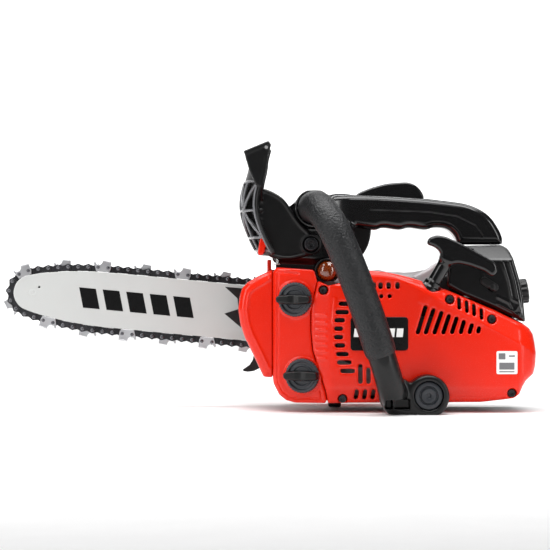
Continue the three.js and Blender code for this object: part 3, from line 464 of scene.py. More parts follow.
def arc(cx, cy, r, a0, a1, steps=6):
    turns = np.radians(np.linspace(a0, a1, steps))
    return [(cx + r * math.cos(a), cy + r * math.sin(a)) for a in turns]


def placed(base, across, up, out):
    """Maps points given along three directions to the engine's axes"""
    return lambda p: base + p[:, :1] * across + p[:, 1:2] * up + p[:, 2:] * out


# ---------------------------------------------------------------- outlines, mostly the same as the CAD's
SEAM = [(-36, 8), (-38, 19), (-44.5, 38), (-49.5, 56), (-51, 73), (-51, 95), (-48, 105), (-45, 118)]
COVER_RIM = [
    (101, 8.7), (122, 11), (131, 12.5), (136, 16), (138.5, 22.5), (142, 28), (149, 34), (151, 41),
    (151.7, 52), (150.7, 62), (149.4, 69.5), (146, 75), (142, 78), (129, 84), (115, 91), (101, 97),
    (70, 110), (41, 120), (27, 123.5), (13, 126), (0.6, 127), (-14, 125), (-24, 116), (-36, 113.5),
]
COVER = [SEAM[0]] + COVER_RIM + SEAM[:0:-1]
VENTS = [
    (-26.4, 97.3, -17.3, 97.3, 3.7), (-29.3, 89.7, -17.6, 89.7, 3.7), (-30.2, 82.5, -21.1, 82.5, 3.7),
    (-30.7, 75, -22.7, 75, 3.7), (-30.7, 67.4, -22.7, 67.4, 3.7), (-30, 59.9, -20.9, 59.9, 3.7),
    (-28.9, 52.2, -17.8, 52.2, 3.7), (-27.9, 44.7, -15.1, 44.7, 3.7), (-25, 37.1, -12.2, 37.1, 3.7),
    (-7.2, 25.6, -7.2, 43.2, 3.6), (0, 25.6, 0, 40, 3.6),
    (-11.4, 11.8, -10, 20.5, 3.4), (-3.9, 11.8, -2.5, 20.5, 3.4), (3.6, 11.8, 5, 20.5, 3.4),
    (51.5, 95.7, 43.7, 69.9, 3.4), (58.6, 93.1, 50.8, 69.9, 3.4), (65.8, 90.6, 58.6, 69.9, 3.4),
    (72.5, 87.8, 66.5, 69.9, 3.4), (79.3, 85.6, 74.3, 70.2, 3.4), (85.8, 82.5, 82.2, 70.2, 3.4),
    (93, 79.6, 90.1, 70.2, 3.4), (99.3, 77, 98, 70.7, 3.4),
    (81.4, 92, 81.4, 103, 2.9), (88.3, 89, 88.3, 100, 2.9), (94.8, 86, 94.8, 97, 2.9),
    (101.4, 83, 101.4, 93, 2.9),
    (4.8, 110.4, 4.8, 116.4, 3.6), (10.8, 110.4, 10.8, 116.4, 3.6), (18, 110.4, 18, 116.4, 3.6),
    (26, 110.4, 26, 116.4, 3.6),
]
TANK = [
    (-85.6, 29.5), (-85, 25), (-80, 15), (-73.6, 10), (-65, 8), (-36.6, 8), (-38.5, 19), (-45, 38),
    (-50, 56), (-51.5, 73), (-51.5, 95), (-48.5, 105), (-45.6, 117), (-48.5, 127.5), (-82, 130),
    (-85.6, 126),
]
CAPS = {"fuel_cap": (-65, 101), "oil_cap": (-58.5, 32.5)}
SHROUD = [
    (-76, 29.5), (-76, 131), (-86, 128), (-99, 122), (-109, 116), (-113.5, 111), (-115.6, 104),
    (-117, 92), (-115, 78), (-111, 66), (-104, 52), (-97, 37), (-94, 30.5),
]
SHROUD_IN = [
    (-60, 33), (-60, 124), (-88.5, 124), (-98, 118.5), (-107, 113), (-111, 108), (-113, 102),
    (-114.4, 92), (-112, 79), (-108, 67), (-101, 53), (-94, 36),
]
CLUTCH = [
    (-84, 44), (-70, 38), (-20, 36), (24, 40), (38, 52), (44, 74), (38, 98), (22, 112), (-30, 124),
    (-74, 127), (-84, 122),
]
LOBE = [
    (-86, 133), (-30, 130.6), (-4, 131.5), (-5, 140), (-9, 152), (-11, 168), (-12, 196.9), (-24, 197.5),
    (-59, 194), (-70.5, 186.5), (-80, 178), (-88, 160),
]
BEAM = [
    (-34, 166), (-20, 168), (10, 164), (15, 167), (32, 164), (39, 167), (56, 164), (61.5, 167),
    (75, 166), (82, 159), (84, 152.4), (84.4, 151.1), (125.6, 151.1), (126, 152.4), (126, 158),
    (122.5, 165.5), (116.5, 175), (109, 181.5), (100, 186), (90, 189.2), (68, 192), (54, 193.6),
    (26, 195.6), (4, 196.7), (-34, 197),
]
TRIGGER = [
    (-16, 176), (-14, 163), (-12, 152), (-8, 143), (-2.7, 141), (0, 145), (3, 151), (5, 159),
    (5.5, 165), (-1, 178), (-6, 181.6), (-13, 181),
]
LOCKOUT = [
    (-11, 190), (50, 189), (52, 192.5), (55, 194.6), (51, 202), (45.5, 207), (39, 209), (32, 208.7),
    (19, 207.6), (4.7, 203.7), (-9, 198),
]
TUBE_PATH = [
    (21, -92, 14), (19, -108, 22), (8, -118, 57.6), (-6, -118, 99), (-20, -118, 136),
    (-33, -114, 165), (-43, -98, 181), (-48, -74, 184), (-48, -20, 184), (-48, 34, 184),
]
FOOT = [
    (15, 0), (62, 0), (66, 4), (70.2, 16), (64, 29), (52.2, 34.3), (42, 31), (36, 27), (32, 31),
    (12, 31), (12, 22),
]
T_BAR = [
    (52.3, 150.5), (60, 148), (65, 143), (64, 136.5), (74, 132), (80, 133.5), (90, 131.5),
    (104, 126.5), (111, 121.2), (115.5, 124.5), (116, 131), (113, 135), (86, 150), (70, 157.5),
    (61.5, 159), (54.5, 156.5),
]
ARM = [
    (-99, 150), (-87, 138), (-70, 136), (-50.7, 141), (-43, 144), (-40.7, 151), (-43, 158),
    (-50.7, 161), (-62, 172), (-70.6, 186), (-76, 193), (-83.5, 198), (-94.5, 203), (-101, 196),
    (-102, 175),
]
WING = [(-101, 204), (-94.5, 203), (-92, 222), (-87, 241), (-89.5, 244), (-111.7, 235), (-107, 218)]
SPIKE = [
    (-84, 118), (-100, 112), (-114.6, 110.6), (-131, 112), (-119, 101), (-118, 91), (-131.4, 86.7),
    (-114.6, 72.5), (-104, 56), (-98, 49), (-103.6, 48), (-104.6, 43), (-107.6, 38.4), (-114, 34),
    (-113.4, 32.4), (-109, 31.8), (-103.5, 32.6), (-98.6, 35), (-92, 39), (-88, 42), (-84, 48),
]
AIR = [
    (72, 113), (74, 138), (84, 149.7), (123, 150.7), (129, 147), (132, 140), (138, 120), (141.5, 102.5),
    (143.7, 79.6), (129, 86), (115, 93), (101, 99), (86, 105),
]
AIR_IN = [
    (75, 118), (77, 137), (86.5, 147), (122, 148), (127, 145), (129.5, 139), (135.4, 119.6), (138.8, 102),
    (140.6, 84), (150, 60), (40, 60),
]
SCREWS = [(-23, 12), (128.7, 17.1), (73, 101), (110.7, 83.3), (-40.2, 109.5)]
MOUNT = (52.2, 16.3)
PRIMER = (-36.5, 126.8)


def stem_at(h):
    return (54 + 0.51 * h, -60.0, 107.6 + 0.86 * h)


def knob_at(h):
    return (141.6 + 0.99 * h, -1.0, 107.4 + 0.14 * h)


def tank_face(x):
    return -52 - (x + 95) * math.tan(CAP_TURN)


def above(value, knee=3.0):
    """Value where positive, else zero, with a soft knee"""
    return smax(value, np.float32(0), knee)


# ---------------------------------------------------------------- starter cover
def cover_face(x, z):
    crest = (x - 65) * 0.476 + (z - 100) * 0.879
    return (FACE_Y + 0.5 * above(crest, 1.5) + 0.6 * above(x - 137) + 0.35 * above(-33 - x)
            + 0.28 * above(21 - z))


def starter_cover():
    g = Field((-55, -75, 4), (155, -36, 131), 0.9)
    edge = 1.6 + 4.9 * np.clip((g.x + 34) / 16, 0, 1)
    full = rounded(g.flat(COVER, 1.5), (cover_face(g.x, g.z) - g.y) * 0.9, edge)
    for k in range(7):
        z = 48 + 6.5 * k
        full = smin(full, capsule(g, (-38, -70.2, z), (-46, -67.4, z), 0.7), 1.0)
    full = smin(full, capsule(g, (-29.9, -71.7, 102), (-31.6, -71.7, 80), 0.9), 1.2)
    full = smin(full, capsule(g, (64, -71.5, 100.6), (136, -71.3, 61.6), 0.75), 0.9)
    full = smin(full, capsule(g, (136, -71.3, 61.6), (137.5, -69.9, 28), 0.7), 0.9)
    shell = smax(smax(full, g.y - SEAM_Y, 0.5), -(full + WALL), 0.4)
    shell = smin(shell, smax(rod(g, stem_at(-12), stem_at(8), 12.5), full, 0.6), 1.0)
    for x, z in SCREWS:
        shell = smin(shell, smax(pin(g, x, z, -70, SEAM_Y, 5.4), full, 0.6), 0.8)
    slots = [stroke(g.x, g.z, *vent) for vent in VENTS]
    slots += [np.hypot(g.x - x, g.z - 104) - 1.8 for x in (11.5, 19)]
    shell = smax(shell, -np.maximum(union(slots), slab(g.y, -90, -60)), 1.3)
    shell = smax(shell, -rod(g, stem_at(-3), stem_at(30), 10), 1.2)
    shell = smax(shell, -rod(g, stem_at(-20), stem_at(0), 2.2), 0.5)
    for x, z in SCREWS:
        shell = smax(shell, -pin(g, x, z, -90, -63, 4.3), 1.2)
    shell = smax(shell, -pin(g, *MOUNT, -90, -20, 13.3), 1.4)
    g.piece("starter_cover", shell, "red_plastic")
    head = [(0, -2), (3.7, -2), (3.7, 0.4), (3.2, 1.3), (1.6, 1.1), (1.6, 0), (0, 0)]
    for i, (x, z) in enumerate(SCREWS, 1):
        lathe(f"cover_screw_{i}", rounded_profile(head, 0.4), (x, -65.5, z), (0, -1, 0),
              "chain_steel", seg=40)


starter_cover()


def skew_block(u0, w0, wide, high, lean):
    return [(u0, w0), (u0 + wide, w0), (u0 + wide + lean, w0 + high), (u0 + lean, w0 + high)]


def flat_mark(name, outline, low, high, paint, slot, to=None, bevel=0.05):
    add_piece(name, plate_mesh(outline, low, high, bevel), slot, to=to, sharp=30, paint=paint)


def round_rect(x0, x1, z0, z1, r, steps=5):
    corners = ((x1 - r, z0 + r, -90), (x1 - r, z1 - r, 0), (x0 + r, z1 - r, 90), (x0 + r, z0 + r, 180))
    return [p for x, z, a in corners for p in arc(x, z, r, a, a + 90, steps + 1)]


def labels():
    """A dark name plate and a white sticker, both with plain blocks in place of words"""
    plate = round_rect(-16, 35.5, 55.4, 85.4, 3)
    flat_mark("name_plate", plate, -72.9, -71.4, "black_print", "black_gloss", bevel=0.3)
    for i in range(6):
        block = skew_block(-13.2 + 7.6 * i, 67.5, 5.8, 7.7, 0.8)
        flat_mark(f"plate_block_{i + 1}", block, -73.05, -72.6, "white_print", "black_gloss")
    sticker = round_rect(114.5, 133.3, 34.3, 54.9, 1.5)
    flat_mark("sticker", sticker, -72.3, -71.8, "white_print", "red_plastic")
    bars = [(116.5, 122.5, 47.5, 53), (125.5, 131, 49.8, 51.2), (117, 130.6, 38.4, 44.6),
            (117, 130.6, 36, 37)]
    for i, box in enumerate(bars, 1):
        bar = round_rect(*box, 0.4, 2)
        flat_mark(f"sticker_bar_{i}", bar, -72.4, -72.2, "grey_print", "red_plastic")


labels()


# ---------------------------------------------------------------- tank, caps and front shroud
CAP_OUT = np.array([-math.sin(CAP_TURN), -math.cos(CAP_TURN), 0])
CAP_ACROSS = np.array([math.cos(CAP_TURN), -math.sin(CAP_TURN), 0])


def cap_base(x, z):
    return np.array([x, tank_face(x), z])


def tank():
    g = Field((-88, -75, 5), (-33, -23, 133), 0.8)
    flat = g.flat(TANK, 3)
    lean = (tank_face(g.x) - g.y) * math.cos(CAP_TURN)
    full = rounded(flat, lean, 1.6 + 3.4 * np.clip((-68 - g.x) / 12, 0, 1))
    body = smax(full, g.y + 25, 0.5)
    bases = [cap_base(x, z) for x, z in CAPS.values()]
    for base in bases:
        body = smin(body, rod(g, base - 6 * CAP_OUT, base + 0.7 * CAP_OUT, 16.9), 1.4)
    shell = smax(body, -np.maximum(full + WALL, g.y + 25 + WALL), 0.4)
    groove = np.hypot(flat + 4.2, lean + 0.2) - 0.7
    groove = np.maximum(groove, np.minimum(g.x + 62, g.z - 20))
    shell = smax(shell, -groove, 0.4)
    for base in bases:
        shell = smax(shell, -rod(g, base - 9 * CAP_OUT, base + 9 * CAP_OUT, 11.2, 0.5), 0.6)
    g.piece("tank_housing", shell, "red_plastic")


tank()


def cap(name, x, z):
    g = Field((-17, -17, -8), (17, 17, 12), 0.42)
    r = np.hypot(g.x, g.y)
    angle = np.arctan2(g.y, g.x)
    disc = rounded(r - 15.4 + 0.35 * np.cos(36 * angle), slab(g.z, 0.6, 4.6), 1.2)
    neck = rounded(r - 10.6, slab(g.z, -6, 2), 0.6)
    disc = smax(disc, -rounded(r - 12.6, slab(g.z, 3.1, 9), 0.8), 0.6)
    disc = smin(disc, rounded(np.abs(r - 9.2) - 0.7, slab(g.z, 2, 4.2), 0.4), 0.5)
    taper = 4.7 - 0.9 * np.clip((g.z - 4) / 6, 0, 1) - 0.9 * (g.x / 15) ** 2
    wing = rounded(rounded(np.abs(g.x + 0.5) - 15.6, np.abs(g.y) - taper, 2.4), slab(g.z, 1.5, 10.4), 1.3)
    wing = smax(wing, -(np.hypot(g.x, (g.z - 14.5) * 1.25) - 6.4), 1.0)
    for side in (-1, 1):
        flute = np.hypot(g.y - side * 5.6, (g.z - 8.2)) - 1.2
        wing = smax(wing, -np.maximum(flute, np.abs(g.x) - 10.5), 0.8)
    to = placed(cap_base(x, z), CAP_ACROSS, np.array([0, 0, 1]), CAP_OUT)
    g.piece(name, smin(disc, neck, 0.6), "cap_grey", name + "_body", to=to)
    # the wing is the same grey moulding as the disc; its black finish is painted shade for how dark it
    # looks from this side
    g.piece(name + "_grip", wing, "cap_grey", name + "_body", to=to, paint="black_matte")


for cap_name, (cap_x, cap_z) in CAPS.items():
    cap(cap_name, cap_x, cap_z)


def shroud():
    g = Field((-119, -52, 27), (-80, 32, 140), 0.85)
    full = prism(g, SHROUD, -50, 29.5, 7, 3)
    ridge = g.flat(inset(SHROUD, 8), 2)
    full = smin(full, rounded(np.abs(ridge) - 0.5, slab(g.y, -50.6, 20), 0.4), 1.4)
    hollow = prism(g, SHROUD_IN, -46.5, 26.5, 4, 2)
    shell = smax(smax(full, g.x + 86, 0.4), -hollow, 0.5)
    shell = smax(shell, -brick(g, -104, -70, 20, 40, 60, 100, 2), 1.0)
    for k in range(4):
        z = 76 + 9 * k
        shell = smax(shell, -brick(g, -130, -104, -22, 14, z, z + 4, 1.5), 1.0)
    post = brick(g, -90.8, -87, -20, 10, 118, 137, 0.5)
    back = brick(g, -88, -82.5, -24.4, -22.6, 31, 128, 0.3)
    shell = np.minimum(shell, back)
    g.piece("front_shroud", smin(shell, post, 1.0), "red_plastic")


def seam_strip():
    """Dark strip behind the seam between tank and starter cover: painted shade that fills the gap along the
    seam
    """
    g = Field((-58, -27, 2), (-18, -21, 128), 0.8)
    band = [(x - 4, z) for x, z in SEAM] + [(x + 4, z) for x, z in SEAM[::-1]]
    g.piece("seam_strip", prism(g, band, -25.6, -23.4, 0.5, 1), "black_matte")


seam_strip()
shroud()


# ---------------------------------------------------------------- front handle
def front_handle():
    line = smooth_path(TUBE_PATH, 16)
    heights = line[:, 2]
    g = Field((-10, -128, -0.8), (74, -73, 64), 0.75)
    block = prism(g, eased(FOOT, 5), -100, -75.2, 2.2)
    block = smin(block, pin(g, *MOUNT, -100, -75.2, 18, 2.2), 3.0)
    foot_part = line[: int(np.argmax(heights > 70)) + 2 : 2]
    low = union([capsule(g, a, b, 12.0) for a, b in zip(foot_part, foot_part[1:])], 0.8)
    low = smax(low, -(g.z - 0.2), 1.5)
    shape = smin(block, low, 5.0)
    for x0, x1 in ((13.8, 20), (21.6, 35.4)):
        shape = smax(shape, -brick(g, x0, x1, -140, -92, 4.6, 13.5, 1.2), 0.8)
    shape = smax(shape, g.z - 62, 0.1)
    shape = smax(shape, -pin(g, *MOUNT, -120, -86, 13.1), 1.0)
    shape = smax(shape, -pin(g, *MOUNT, -120, -60, 4), 0.6)
    g.piece("front_handle", shape, "black_matte")
    upper = line[heights > 58]
    upper = upper[: np.argmax(upper[:, 1] > 33.9) or None]
    add_piece("front_handle_tube", swept(upper, [12.0] * len(upper)), "black_matte", sharp=40)
    grip = line[(heights > 52.5) & (line[:, 1] < 27)]
    radii = np.full(len(grip), 14.0)
    radii[:3] = [12.4, 13.5, 13.9]
    radii[-2:] = [13.7, 12.6]
    add_piece("handle_grip", swept(grip, radii, 72), "rubber_black", sharp=50)


front_handle()

sleeve = [(4, -74.8), (12, -74.8), (12, -68), (10.8, -66), (12, -64), (12, -57), (10.8, -55), (12, -53),
          (12, -41), (4, -41), (4, -74.8)]
lathe("mount_rubber", rounded_profile(sleeve, 0.8), (MOUNT[0], 0, MOUNT[1]), (0, 1, 0), "rubber_black")
button = [(0, 86.4), (12.7, 86.4), (12.9, 97.2), (11.9, 98.3), (8.7, 98.5), (8, 96.8), (7, 96.8),
          (6.4, 98.6), (2.2, 98.2), (1.6, 96.9), (0, 96.9)]
lathe("mount_cap", rounded_profile(button, 0.5), (MOUNT[0], 0, MOUNT[1]), (0, -1, 0), "cap_grey")


# ---------------------------------------------------------------- top handle and its controls
def top_handle():
    g = Field((-91, -35, 123), (128, 36, 200), 0.85)
    narrow = np.clip((g.x + 46) / 30, 0, 1) ** 1.5 * np.clip((g.z - 164) / 12, 0, 1)
    wide = 27 - 12.0 * narrow
    lobe = rounded(g.flat(eased(LOBE, 7)), (np.abs(g.y) - wide) * 0.9, 8)
    beam = prism(g, eased(BEAM, 7), -17, 17, 6.5)
    full = smin(lobe, beam, 4)
    hollow = [(-83, 110), (-6.6, 110), (-7.8, 140), (-11.6, 152), (-14, 160), (-34, 166.5), (-64, 167),
              (-76, 172), (-83, 158)]
    shell = smax(full, -prism(g, hollow, -24, 24, 2), 0.6)
    parting = [(4, 182), (58, 180), (84, 176), (100, 168), (107, 159), (109, 151)]
    for (x0, z0), (x1, z1) in zip(parting, parting[1:]):
        for y in (-17.2, 17.2):
            shell = smax(shell, -capsule(g, (x0, y, z0), (x1, y, z1), 0.6), 0.3)
    skirt = [(-83, 125), (-8, 125), (-8, 136), (-83, 137)]
    shell = smin(shell, prism(g, skirt, -24.2, -22, 0.4), 1.0)
    saddle = np.hypot(g.x + 48, g.z - 184) - 14.4
    shell = smin(shell, rounded(saddle - 3.2, np.abs(g.y) - 29.5, 1.5), 3)
    shell = smax(shell, -saddle, 0.8)
    gap = [(-40, 160), (-20, 130), (8, 130), (10, 165), (4, 184), (-20, 186), (-30, 176)]
    shell = smax(shell, -np.maximum(g.flat(gap), np.abs(g.y) - 5.4), 0.8)
    well = [(-13, 183), (58, 181), (58, 200), (-13, 199)]
    shell = smax(shell, -np.maximum(g.flat(well), np.abs(g.y) - 6.7), 0.8)
    shell = smax(shell, -pin(g, *PIVOT, -40, 0, 3.5), 0.5)
    shell = smin(shell, pin(g, *PIVOT, 22, 33, 3), 1.0)
    g.piece("top_handle", shell, "black_gloss")
    g = Field((-18, -6, 139), (8, 6, 184), 0.45)
    trigger = prism(g, eased(TRIGGER, 3), -4.7, 4.7, 1.8)
    g.piece("throttle_trigger", trigger, "black_matte", "trigger_body")
    g = Field((-13, -8, 186), (58, 8, 211), 0.5)
    lever = prism(g, eased(LOCKOUT, 5), -6.2, 6.2, 2.2)
    g.piece("throttle_lockout", lever, "black_gloss", "lockout_body")
    g = Field((64, 16, 170), (78, 25, 182), 0.4)
    switch = smin(brick(g, 66, 76, 17.6, 20.6, 172, 180, 1), brick(g, 69, 73, 19, 23, 173.5, 178.5, 1), 0.8)
    g.piece("stop_switch", switch, "red_plastic", "stop_switch_body")


top_handle()


# ---------------------------------------------------------------- hand guard
BOW = np.polyfit(np.linspace(139, 235, 10),
                 [-97.5, -104, -109, -113, -115, -115.6, -113.5, -110, -108, -109.5], 6)


def bow(y, z):
    """Front of the guard: upright curve, swept back towards both sides"""
    height = np.clip(z, 139, 235)
    return np.polyval(BOW, height) + 15 * (np.minimum(np.abs(y), 55) / 52) ** 2


def guard_windows():
    """Triangular windows, two to a cell, over a row of low slots"""
    out = []
    for c, (y0, y1) in enumerate(((-47, -25.2), (-22.8, -1.2), (1.2, 22.8), (25.2, 47))):
        out.append([(y0, 147), (y1, 147), (y1, 155.6), (y0, 155.6)])
        for r, (z0, z1) in enumerate(((158.8, 180.4), (183.2, 207))):
            lower = [(y0 + 2.4, z0), (y1, z0), (y1, z1 - 2.4)]
            upper = [(y0, z0 + 2.4), (y1 - 2.4, z1), (y0, z1)]
            if (c + r) % 2:
                lower = [(y0 + y1 - y, z) for y, z in lower][::-1]
                upper = [(y0 + y1 - y, z) for y, z in upper][::-1]
            out += [lower, upper]
    return out


def hand_guard():
    g = Field((-120, -54, 134), (-38, 54, 247), 0.85)
    outside = bow(g.y, g.z)
    span = rounded(np.abs(g.y) - 52, slab(g.z, 141, 234), 6)
    deep = (np.abs(g.x - outside - 1.5) - 1.5) * 0.93
    windows = union([poly(g.y, g.z, window, 0.8) for window in guard_windows()])
    guard = smax(rounded(deep, span, 0.9), -windows, 1.0)
    lines = [((-48.5, z), (48.5, z)) for z in (145, 157.2, 181.8, 208.4)]
    lines += [((y, 145), (y, 208.4)) for y in (-48.5, -24, 0, 24, 48.5)]
    for c, y in enumerate((-47.5, -23.5, 0.5, 24.5)):
        for r, z in enumerate((157.2, 181.8)):
            up = (c + r) % 2 == 0
            lines.append(((y, z if up else z + 25), (y + 22.5, z + 25 if up else z)))
    ribs = []
    for (y0, z0), (y1, z1) in lines:
        way = math.hypot(y1 - y0, z1 - z0)
        t = np.clip(((g.y - y0) * (y1 - y0) + (g.z - z0) * (z1 - z0)) / way ** 2, 0, 1)
        ribs.append(np.hypot(g.y - y0 - t * (y1 - y0), g.z - z0 - t * (z1 - z0)))
    raised = rounded(union(ribs) - 1.25, (np.abs(g.x - outside) - 1.1) * 0.93, 0.7)
    lattice_painted_highlight = smax(raised, np.abs(g.y) - 51, 0.5)
    lattice_painted_highlight = smax(lattice_painted_highlight, -(g.x - outside + 1.6), 0.3)
    arm = g.flat(eased(ARM, 7))
    for low in (-32.5, 28.5):
        plate = rounded(arm, slab(g.y, low, low + 4), 1.6)
        side = -1 if low < 0 else 1
        rim = rounded(np.abs(arm + 2) - 1.1, slab(g.y, 30.5 * side - 2.9, 30.5 * side + 2.9), 0.6)
        guard = smin(guard, smin(plate, np.maximum(rim, -98 - g.x), 0.8), 2.0)
    web = g.flat([(-104, 209), (-104, 158), (-96, 158), (-94.5, 203)], 1)
    web = rounded(np.maximum(web, outside + 1.5 - g.x), np.abs(g.y) - 46, 1)
    web = smax(web, -windows, 1.0)
    guard = smin(guard, web, 1.5)
    fin = g.flat([(-118, 151), (-96.5, 151), (-96, 203), (-98, 208), (-118, 208)])
    fin = rounded(np.maximum(fin, outside + 1 - g.x), np.abs(g.y) - 1.3, 0.5)
    guard = smin(guard, fin, 1.0)
    wing = g.flat(WING, 1.5)
    for low in (-52, 48.6):
        guard = smin(guard, rounded(wing, slab(g.y, low, low + 3.4), 1.2), 2.0)
    top = [(-112, 235), (-89.5, 244.3), (-88.4, 241.4), (-110, 231.6)]
    guard = smin(guard, prism(g, top, -52, 52, 0.9), 1.5)
    boss = smin(pin(g, *PIVOT, -34.4, -28.6, 9.5, 1.2), pin(g, *PIVOT, 28.6, 33.4, 9.5, 1.2), 0.5)
    guard = smin(guard, boss, 1.2)
    guard = smax(guard, -pin(g, -91.5, 238.6, -60, 60, 1.5), 0.4)
    guard = smax(guard, -pin(g, *PIVOT, -60, 60, 3.4), 0.5)
    guard = smax(guard, -pin(g, *PIVOT, -60, -32.9, 7.2), 0.6)
    g.piece("hand_guard", guard, "black_gloss", "hand_guard_body", paint="black_matte")
    # the ribs get the mid-grey finish as a painted highlight; they are black plastic like the rest of the
    # guard
    g.piece("guard_lattice", lattice_painted_highlight, "black_gloss", "hand_guard_body", paint="lattice_painted_highlight")
    # red tab at the guard's lower inner part: a painted reflection of the red body there
    g = Field((-104, -47, 138), (-88, -30, 166), 0.5)
    reflection_tab = [(-99.5, 141), (-94, 141), (-91.5, 150), (-92, 162), (-95, 163), (-98, 152)]
    link = prism(g, eased(reflection_tab, 3), -45, -33, 1.2)
    g.piece("guard_link", link, "red_plastic", "hand_guard_body")


hand_guard()
pull_pin = [(0, 0), (3.2, 0), (3.2, 0.9), (0.9, 0.9), (0.9, 7), (0, 7)]
brake_link = lathe("brake_link", rounded_profile(pull_pin, 0.2), (-81.5, -31, 132.4), (0, 0, 1),
                   "zinc_plate", None, seg=32)
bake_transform(brake_link)
pivot_screw = [(0, 34.2), (2, 34.2), (2.6, 36), (5.6, 36), (6.4, 35), (6.4, 32.8), (3.1, 32.8), (3.1, 25),
               (0, 25)]
lathe("guard_pivot_screw", rounded_profile(pivot_screw, 0.5), (PIVOT[0], 0, PIVOT[1]), (0, -1, 0),
      "chain_steel")


# ---------------------------------------------------------------- starter grip, rope and primer
def starter():
    g = Field((48, -70, 105), (119, -50, 162), 0.6)
    bar = prism(g, eased(T_BAR, 3), -68.2, -51.8, 2.8)
    stem = rod(g, stem_at(5), stem_at(34), 6.2)
    collar = smin(rod(g, stem_at(0), stem_at(5.5), 9.8, 1.2), rod(g, stem_at(3), stem_at(10.5), 8.3, 0.8),
                  1.6)
    shape = smin(smin(bar, stem, 4.0), collar, 1.5)
    under = g.flat([(84, 128), (103, 122), (109, 127), (104, 134), (88, 141)], 2)
    shape = smax(shape, -np.maximum(under, slab(g.y, -63.5, -40)), 1.2)
    shape = smax(shape, -rod(g, stem_at(-3), stem_at(5), 2.2), 0.4)
    g.piece("starter_grip", shape, "black_matte", "starter_grip_body", paint="black_gloss")
    start, end = np.array([26.4, -60, 61.2]), np.array(stem_at(4.6))
    line = [start + (end - start) * t for t in np.linspace(0, 1, 90)]
    rope = add_piece("starter_rope", swept(line, [1.7] * len(line), 24), "rope_cord", None, sharp=50)
    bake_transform(rope)


starter()


def primer():
    g = Field((-50, -64, 114), (-23, -42, 140), 0.45)
    ring = pin(g, *PRIMER, -61.2, -44, 11.3, 1.2)
    ring = smax(ring, -pin(g, *PRIMER, -70, -49.6, 9.6), 0.8)
    ring = smax(ring, -(g.z - 117.2), 0.6)
    g.piece("primer_base", ring, "black_matte")
    dome = [(0, 66.6), (2.2, 66.4), (4.6, 65.6), (6.6, 64.2), (8, 62.3), (8.8, 60), (9.2, 57.6),
            (9.2, 55.3), (0, 55.3)]
    lathe("primer_bulb", dome, (PRIMER[0], 0, PRIMER[1]), (0, -1, 0), "amber_plastic",
          "primer_body", sharp=50)


primer()


# ---------------------------------------------------------------- air cleaner cover and its controls
def air_cover():
    g = Field((70, -48, 76), (146, 42, 153), 0.85)
    full = prism(g, eased(AIR, 3), -46, 40, 3)
    bevel = np.maximum(-39 - g.y, g.y - 33) + g.z - 143.3
    for shift in (0, 5.5):
        line = np.abs(g.flat(inset(AIR, 5 + shift), 2)) - 0.55
        raised = rounded(np.maximum(line, np.maximum(118 - g.x, g.z - 136)), slab(g.y, -46.7, 40.7), 0.5)
        full = smin(full, raised, 0.7)
    full = smax(full, bevel * 0.7071, 1.2)
    hollow = prism(g, AIR_IN, -43.4, 37.4, 3, 2)
    tall = [(72, 40), (72, 113), (74, 138), (84, 149.7), (123, 150.7), (129, 147), (132, 140),
            (138, 120), (141.5, 102.5), (143.7, 79.6), (146, 40)]
    deep = smax(prism(g, tall, -46, 40, 3), bevel * 0.7071, 0.6)
    hollow = np.maximum(hollow, deep + 2.4)
    shell = smax(full, -hollow, 0.5)
    front = rounded(slab(g.x, 55, 84), slab(g.z, 95, 137), 1)
    shell = smax(shell, -np.maximum(front, slab(g.y, -26, 16)), 0.8)
    shell = smax(shell, -rod(g, (120, -1, 105), (160, -1, 109.6), 4.4), 0.5)
    shell = smax(shell, -pin(g, 113, 112, -60, -40, 2.7), 0.5)
    g.piece("air_cleaner_cover", shell, "black_gloss")

    g = Field((-14, -14, -12), (14, 14, 10), 0.5)
    r = np.hypot(g.x, g.y)
    angle = np.arctan2(g.y, g.x)
    grip = rounded(r - 11.4 + 0.9 * np.maximum(0, np.cos(9 * angle)), slab(g.z, 1.2, 9), 1.6)
    grip = smax(grip, -(np.hypot(r, g.z - 20) - 13.2), 0.8)
    grip = smin(grip, rounded(r - 3.2, slab(g.z, -11, 3), 0.4), 0.6)
    way = np.array([0.99, 0, 0.14]) / math.hypot(0.99, 0.14)
    up = np.array([-way[2], 0, way[0]])
    g.piece("filter_knob", grip, "black_matte", "filter_knob_body",
            to=placed(np.array(knob_at(0)), np.array([0, 1, 0]), up, way))
    g = Field((98, -52, 104), (123, -37, 124), 0.45)
    lever = rounded(stroke(g.x, g.z, 118.2, 109.8, 102.8, 119.7, 7.2), slab(g.y, -50.6, -46.4), 1.2)
    lever = smin(lever, pin(g, 113, 112, -51.4, -38, 2.3, 0.5), 1.2)
    g.piece("choke_lever", lever, "black_matte", "choke_body")


air_cover()


# ---------------------------------------------------------------- clutch cover and engine housing
def on_bar(u, w):
    c, s = math.cos(BAR_TILT), math.sin(BAR_TILT)
    return (-u * c + w * s, CRANK_Z + u * s + w * c)


STUDS = [on_bar(56, 0), on_bar(80, 0)]


